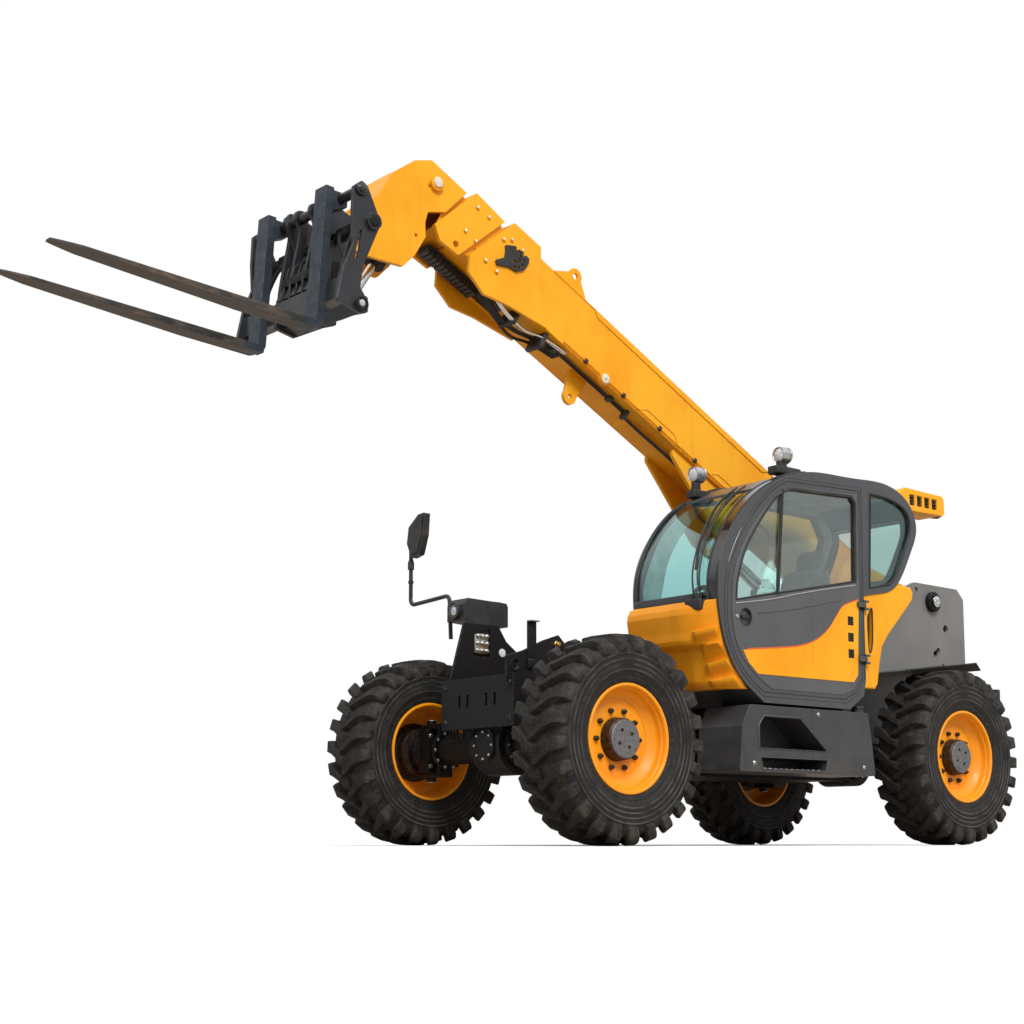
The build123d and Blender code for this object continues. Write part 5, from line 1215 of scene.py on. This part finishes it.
# ---- step box ----
spots = [(-1215, 560), (-1900, 920), (-2400, 560)]
bolted("step_box_bolts", beside(1, spots, CAB_OUT, FRONT), 12, 8, ZINC)
STEPS = (
    # its opening, the edge's radius, the tread's height, rear end and front end
    ("upper", [(-1267, 660), (-1267, 824), (-1320, 885), (-1700, 885), (-1985, 660)],
     7, 662, -1930, -1300),
    ("lower", [(-1300, 520), (-1280, 600), (-1990, 600), (-1970, 520)],
     6, 524, -1950, -1320),
)
STUDS = 12  # along a step
for name, opening, radius, z, back, front in STEPS:
    bead(f"step_{name}_edge", flat(opening, -CAB_OUT + 1), radius, CAB, closed=True)
    along = [back + (front - back) * k / (STUDS - 1) for k in range(STUDS)]
    studs = [facing((x, y, z), (0, 0, 1)) for x in along for y in (935, 995, 1055, 1115)]
    caps(f"step_studs_{name}", studs, 11, 7, ZINC, roll=2, segments=14)
filler = facing((-2450, CAB_OUT - 90, 991), (0, 0, 1))
caps("filler_cap", [filler], 52, 20, PLASTIC, roll=6)

# ---- engine cover ----
HOOD_OUT = 1200
GRILLES = (("rear", -2580, -1860), ("front", -1740, -1120))
holes = [soft_square(x0, x1, 760, 1240) for _, x0, x1 in GRILLES]
side_panel = [soft_square(-2700, -1000, 620, 1370, 90), *holes]
plate("hood_side_panel", side_panel, HOOD_OUT, HOOD_OUT + 12, YELLOW, "hood", bevel=5)
for (part, x0, x1), hole in zip(GRILLES, holes):
    plate(f"hood_grille_{part}", [hole], HOOD_OUT - 1, HOOD_OUT + 4, PLASTIC, "hood", bevel=1)
    for k in range(9):
        slat = flat([(x0 + 35, 800 + 50 * k), (x1 - 35, 800 + 50 * k)], HOOD_OUT + 7)
        bead(f"hood_slat_{part}_{k}", slat, 7.5, PLASTIC, "hood")
fins = [((-945, y, 690), (-933, y + 18, 1310), 3) for y in range(-1090, -480, 50)]
boxes("hood_radiator_grille", [((-952, -1120, 660), (-943, -460, 1340)), *fins], PLASTIC, "hood")
boxes("hood_rear_panel", [((-2766, -1100, 700), (-2749, -480, 1320))], YELLOW, "hood", bevel=6)
boxes("hood_top_panel", [((-2580, -1120, 1417), (-1120, -480, 1432))], YELLOW, "hood", bevel=7)
latches = [((x - 50, -1222, 640), (x + 30, -1205, 700)) for x in (-2620, -1060)]
boxes("hood_latches", latches, TRIM, "hood", bevel=6)
vents = [((x, -1020, 1428), (x + 160, -620, 1446)) for x in range(-2350, -1300, 330)]
boxes("hood_vents", vents, PLASTIC, "hood", bevel=7)
bead("hood_seal", [(-2740, 565, 1194), (-960, 565, 1194)], 8, RUBBER, "hood")

# ---- fork carriage, measured from its hinge ----
FOOT = (209, -682)
SHAFT = (261, 54)
HOOK = smooth_flat((
    (222, 100), (262, 112), (305, 92), (312, 40), (290, 10), (268, -40), (282, -180),
    (300, -340), (306, -480), (268, -520), (236, -470), (226, -300), (222, -160), (208, -60),
    (205, 40),
), 5, True)
ring = [(612, 30), (612, 47), (622, 47), (628, 42), (628, 30)]
rings = [[(s * a, radius) for a, radius in ring] for s in BOTH]
foot = Matrix.Translation(CARRIAGE @ (Vector((*FOOT, 0)) * MM))
turned("foot_pin_rings", rings, 40, "Y", (0, 0, 0), BLACK, "carriage", matrix=foot)
# hooks, pipes and a valve in front of the diaphragm
for k, y in enumerate((-205, -85, 85, 205)):
    hook = [HOOK, circle(*SHAFT, 32.5)]
    name = f"carriage_hook_{k}"
    plate(name, hook, -y - 14, -y + 14, "paint_carriage", "carriage", CARRIAGE, 3)
    pins = [facing((270, -470, -y - w * 13), (0, w, 0), CARRIAGE) for w in BOTH]
    caps(f"hook_pins_{k}", pins, 16, 6, ZINC, "carriage")
for k in range(5):
    y, odd = -150 + 75 * k, k % 2
    line = [
        (255, -255, -y), (282, -290, -y), (306 + 6 * odd, -400, -y - 12), (318, -500, -y - 20),
        (300, -590, -y),
    ]
    material = RUBBER if odd else BLACK
    bead(f"diaphragm_pipe_{k}", line, 9, material, "carriage", CARRIAGE, 6)
boxes("carriage_valve", [
    ((262, -420, -150), (318, -360, 150), 6),
    ((150, -160, -420), (205, -98, -260)), ((150, -160, 260), (205, -98, 420)),
], BLACK, "carriage", CARRIAGE, 8)
CROSS_HOSE = (
    (200, -140, 300), (235, -230, 360), (245, -350, 440), (240, -470, 500), (225, -560, 520),
)
for s, side in SIDES:
    line = [(x, z, -s * y) for x, z, y in CROSS_HOSE]
    bead(f"cross_hose_{side}", line, 13, RUBBER, "carriage", CARRIAGE, 6)
for k, y in enumerate((-300, -240, 240, 300)):
    line = [(80, -300, -y), (140, -420, -y), (200, -580, -y * 0.9), (255, -660, -y * 0.85)]
    bead(f"carriage_hose_{k}", line, 13, RUBBER, "carriage", CARRIAGE, 6)
CARRIAGE_ENDS = (
    # name, how it is made, place beside the carriage, radius, depth, material
    ("foot_pin_caps", caps, (*FOOT, 624), 22, 5, CHROME),
    ("shaft_washers", caps, (*SHAFT, 610), 44, 6, "paint_carriage"),
    ("shaft_nuts", bolted, (*SHAFT, 614), 31, 16.5, GLOSS),
    ("hinge_pin_caps", caps, (0, 0, 205), 38, 5, CHROME),
    ("tilt_eye_bolts", bolted, (-60, -500, 220), 24, 14, ZINC),
)
for name, make, spot, *look in CARRIAGE_ENDS:
    make(name, flanks(CARRIAGE, *spot), *look, "carriage")
caps("bar_caps", flanks(CARRIAGE, 158, -129, 622), 40, 6, BLACK, "carriage", 4)
couplings = []
for s in BOTH:
    couplings.append(((225, -640, s * 445 - 50), (262, -560, s * 445 + 50)))
    couplings.append(((190, -470, s * 300 - 18), (232, -330, s * 300 + 18)))
boxes("carriage_couplings", couplings, BLACK, "carriage", CARRIAGE, 8)
stops = [((330, 104, s * 337 - 30), (375, 110, s * 337 + 30)) for s in BOTH]
boxes("fork_stops", stops, ZINC, "carriage", CARRIAGE, 3)

# ---- trims along the cab's outline, and the rear window ----
CAB_LINE = smooth_flat((
    (-1149, 1092), (-951, 1358), (-880, 1700), (-890, 1874), (-1045, 2196), (-1246, 2407),
    (-1500, 2560), (-1820, 2662), (-2360, 2692), (-2880, 2670), (-3055, 2557), (-3114, 2405),
    (-3038, 2214), (-2920, 2020), (-2810, 1910), (-2660, 1860), (-2450, 1820),
), 10)


def ribbon(name, line, y0, y1, low, high, material):
    """A bent plate that follows the line from y0 to y1, between two heights above it."""
    bm = bmesh.new()
    loops = []
    for by, sides in ((low, (y0, y1)), (high, (y1, y0))):
        for y in sides:
            loops.append([bm.verts.new(Vector((x, y, z)) * MM) for x, z in lifted(line, by)])
    for here, there in zip(loops, loops[1:] + loops[:1]):
        join(bm, here, there)
    for k in (0, -1):
        bm.faces.new([loop[k] for loop in loops])
    edges = [e for e in bm.edges if len(e.link_faces) == 2 and e.calc_face_angle(0) > 1.2]
    roll = min(2, (high - low) / 3) * MM
    bmesh.ops.bevel(bm, geom=edges, offset=roll, segments=2, affect="EDGES")
    return from_bmesh(name, bm, material, "chassis", FRONT)


front_run = [p for p in CAB_LINE[6:] if p[1] > 1300][:62]
ribbon("front_post_trim", front_run, 1088, 1160, -4, 4, GLOSS)
bead("front_post_bead", flat(lifted(front_run, 2), -1084), 8)
bead("front_post_edge", flat(lifted(front_run, 1), -1163), 6)
back_run = [p for p in CAB_LINE if p[0] < -2860 and 1985 < p[1] < 2475]
ribbon("rear_window", back_run, 418, 1052, -18, -12, "glass_side")
for side, y in (("right", 414), ("left", 1056)):
    bead(f"rear_window_seal_{side}", flat(back_run, -y), 10)
for end, spot in (("top", back_run[0]), ("foot", back_run[-1])):
    bead(f"rear_window_seal_{end}", [(*spot, -414), (*spot, -1056)], 10)
roof_run = [p for p in CAB_LINE if -2900 < p[0] < -1550 and p[1] > 2400]
for side, y in (("right", 388), ("left", 1118)):
    bead(f"roof_gutter_{side}", flat(lifted(roof_run, 2), -y), 9)
# right-hand window's seal, and the pale lining of the roof and of the right-hand wall
RIGHT_WINDOW = smooth_flat((
    (-1110, 1750), (-1200, 2050), (-1400, 2320), (-1680, 2520), (-2000, 2580),
)) + [(-2860, 2570), (-2960, 2400), (-2760, 1980), (-2420, 1750)]
bead("right_window_seal", flat(RIGHT_WINDOW, -CAB_IN - 1), 10, closed=True)
lining = [p for p in CAB_LINE if -2900 < p[0] < -1450 and p[1] > 2450]
ribbon("roof_lining", lining, 405, 1112, -62, -54, LINER)
wall = CAB_LINE + [(-2450, 1200), (-2420, 1080), (-2260, 975), (-1330, 975)]
wall = [inset(wall, 58), inset(RIGHT_WINDOW, -4)]
skin("wall_lining", wall, CAB_IN + 51, CAB_IN + 55, LINER, bevel=1)

# ---- inside the cab: dashboard, console, lever and pedals ----
boxes("dash_cowl", [
    ((-1300, 560, 1560), (-1090, 960, 1610), 18),
    ((-1270, 600, 1600), (-1180, 920, 1650), 16),
], CONSOLE, segments=3)
boxes("dash_screen", [((-1276, 640, 1606), (-1268, 880, 1644))], GLOSS, bevel=3)
switches = [((-1304, y, 1566), (-1294, y + 38, 1592)) for y in range(580, 900, 62)]
boxes("dash_switches", switches, TRIM, bevel=3)
boxes("side_console", [
    ((-2250, 405, 1026), (-1500, 505, 1420)), ((-2350, 405, 1400), (-1620, 520, 1470), 18),
    ((-2460, 402, 1030), (-2340, 1100, 1700)),
], CONSOLE, bevel=20, segments=3)
stick = [(-1720, 460, 1468), (-1715, 460, 1530), (-1700, 462, 1590)]
bead("boom_lever", stick, 13, matrix=FRONT, per=5)
knob = facing((-1700, 462, 1580), (0.1, 0, 1))
caps("boom_lever_knob", [knob], 24, 55, GLOSS, roll=15, segments=24)
pedals = [((-1360, y, 1080), (-1330, y + 80, 1220)) for y in (660, 830)]
boxes("pedals", pedals, RUBBER, bevel=6)

# ---- floor: white to the camera, warm to everything else ----
bm = bmesh.new()
bmesh.ops.create_grid(bm, x_segments=1, y_segments=1, size=60)
data = bpy.data.meshes.new("floor")
bm.to_mesh(data)
bm.free()
floor = bpy.data.objects.new("floor", data)
bpy.context.collection.objects.link(floor)
s = new_shade("floor_white")
seen = s.node("LightPath").outputs["Is Camera Ray"]
tone = s.mix(seen, (0.46, 0.39, 0.33), (0.86, 0.86, 0.86))
matte = s.node("BsdfDiffuse", {"Color": tone}).outputs[0]
glow = s.node("Emission", {"Color": (1, 1, 1), "Strength": s.times(seen, 0.04)}).outputs[0]
data.materials.append(s.finish(s.node("AddShader", {0: matte, 1: glow}).outputs[0]))

# ---- sky: white to the camera, grey below and white above to everything else ----
scene = bpy.context.scene
scene.world = bpy.data.worlds.new("studio")
s = Shade(scene.world)
up = s.axes(s.node("TexCoord").outputs["Generated"])[2]
ramp = s.node("ValToRGB", {0: up})
low_stop, high_stop = ramp.color_ramp.elements
low_stop.position, low_stop.color = 0.0, (0.42, 0.45, 0.48, 1)
high_stop.position, high_stop.color = 0.75, (0.98, 1.0, 1.0, 1)
sky = s.mix(s.node("LightPath").outputs["Is Camera Ray"], ramp.outputs[0], (1, 1, 1))
s.finish(s.node("Background", {0: sky, 1: 1.0}).outputs[0], "OutputWorld")

# ---- sun and camera ----
sun = bpy.data.objects.new("key_light", bpy.data.lights.new("key_light", "SUN"))
sun.data.energy = 2.35
sun.data.angle = 0.35
sun.rotation_euler = Vector((-0.30, -0.80, -0.82)).to_track_quat("-Z", "Y").to_euler()
bpy.context.collection.objects.link(sun)

camera = bpy.data.objects.new("camera", bpy.data.cameras.new("camera"))
bpy.context.collection.objects.link(camera)
camera.data.sensor_width = 36
camera.data.lens = 58.99
camera.data.shift_y = 0.105
camera.location = FRONT @ Vector((7.428, 8.831, 0.036))
yaw, pitch = radians(229.758), radians(7.5)
look = Vector((cos(yaw) * cos(pitch), sin(yaw) * cos(pitch), sin(pitch)))
camera.rotation_euler = look.to_track_quat("-Z", "Y").to_euler()
scene.camera = camera
scene.view_settings.view_transform = "Standard"
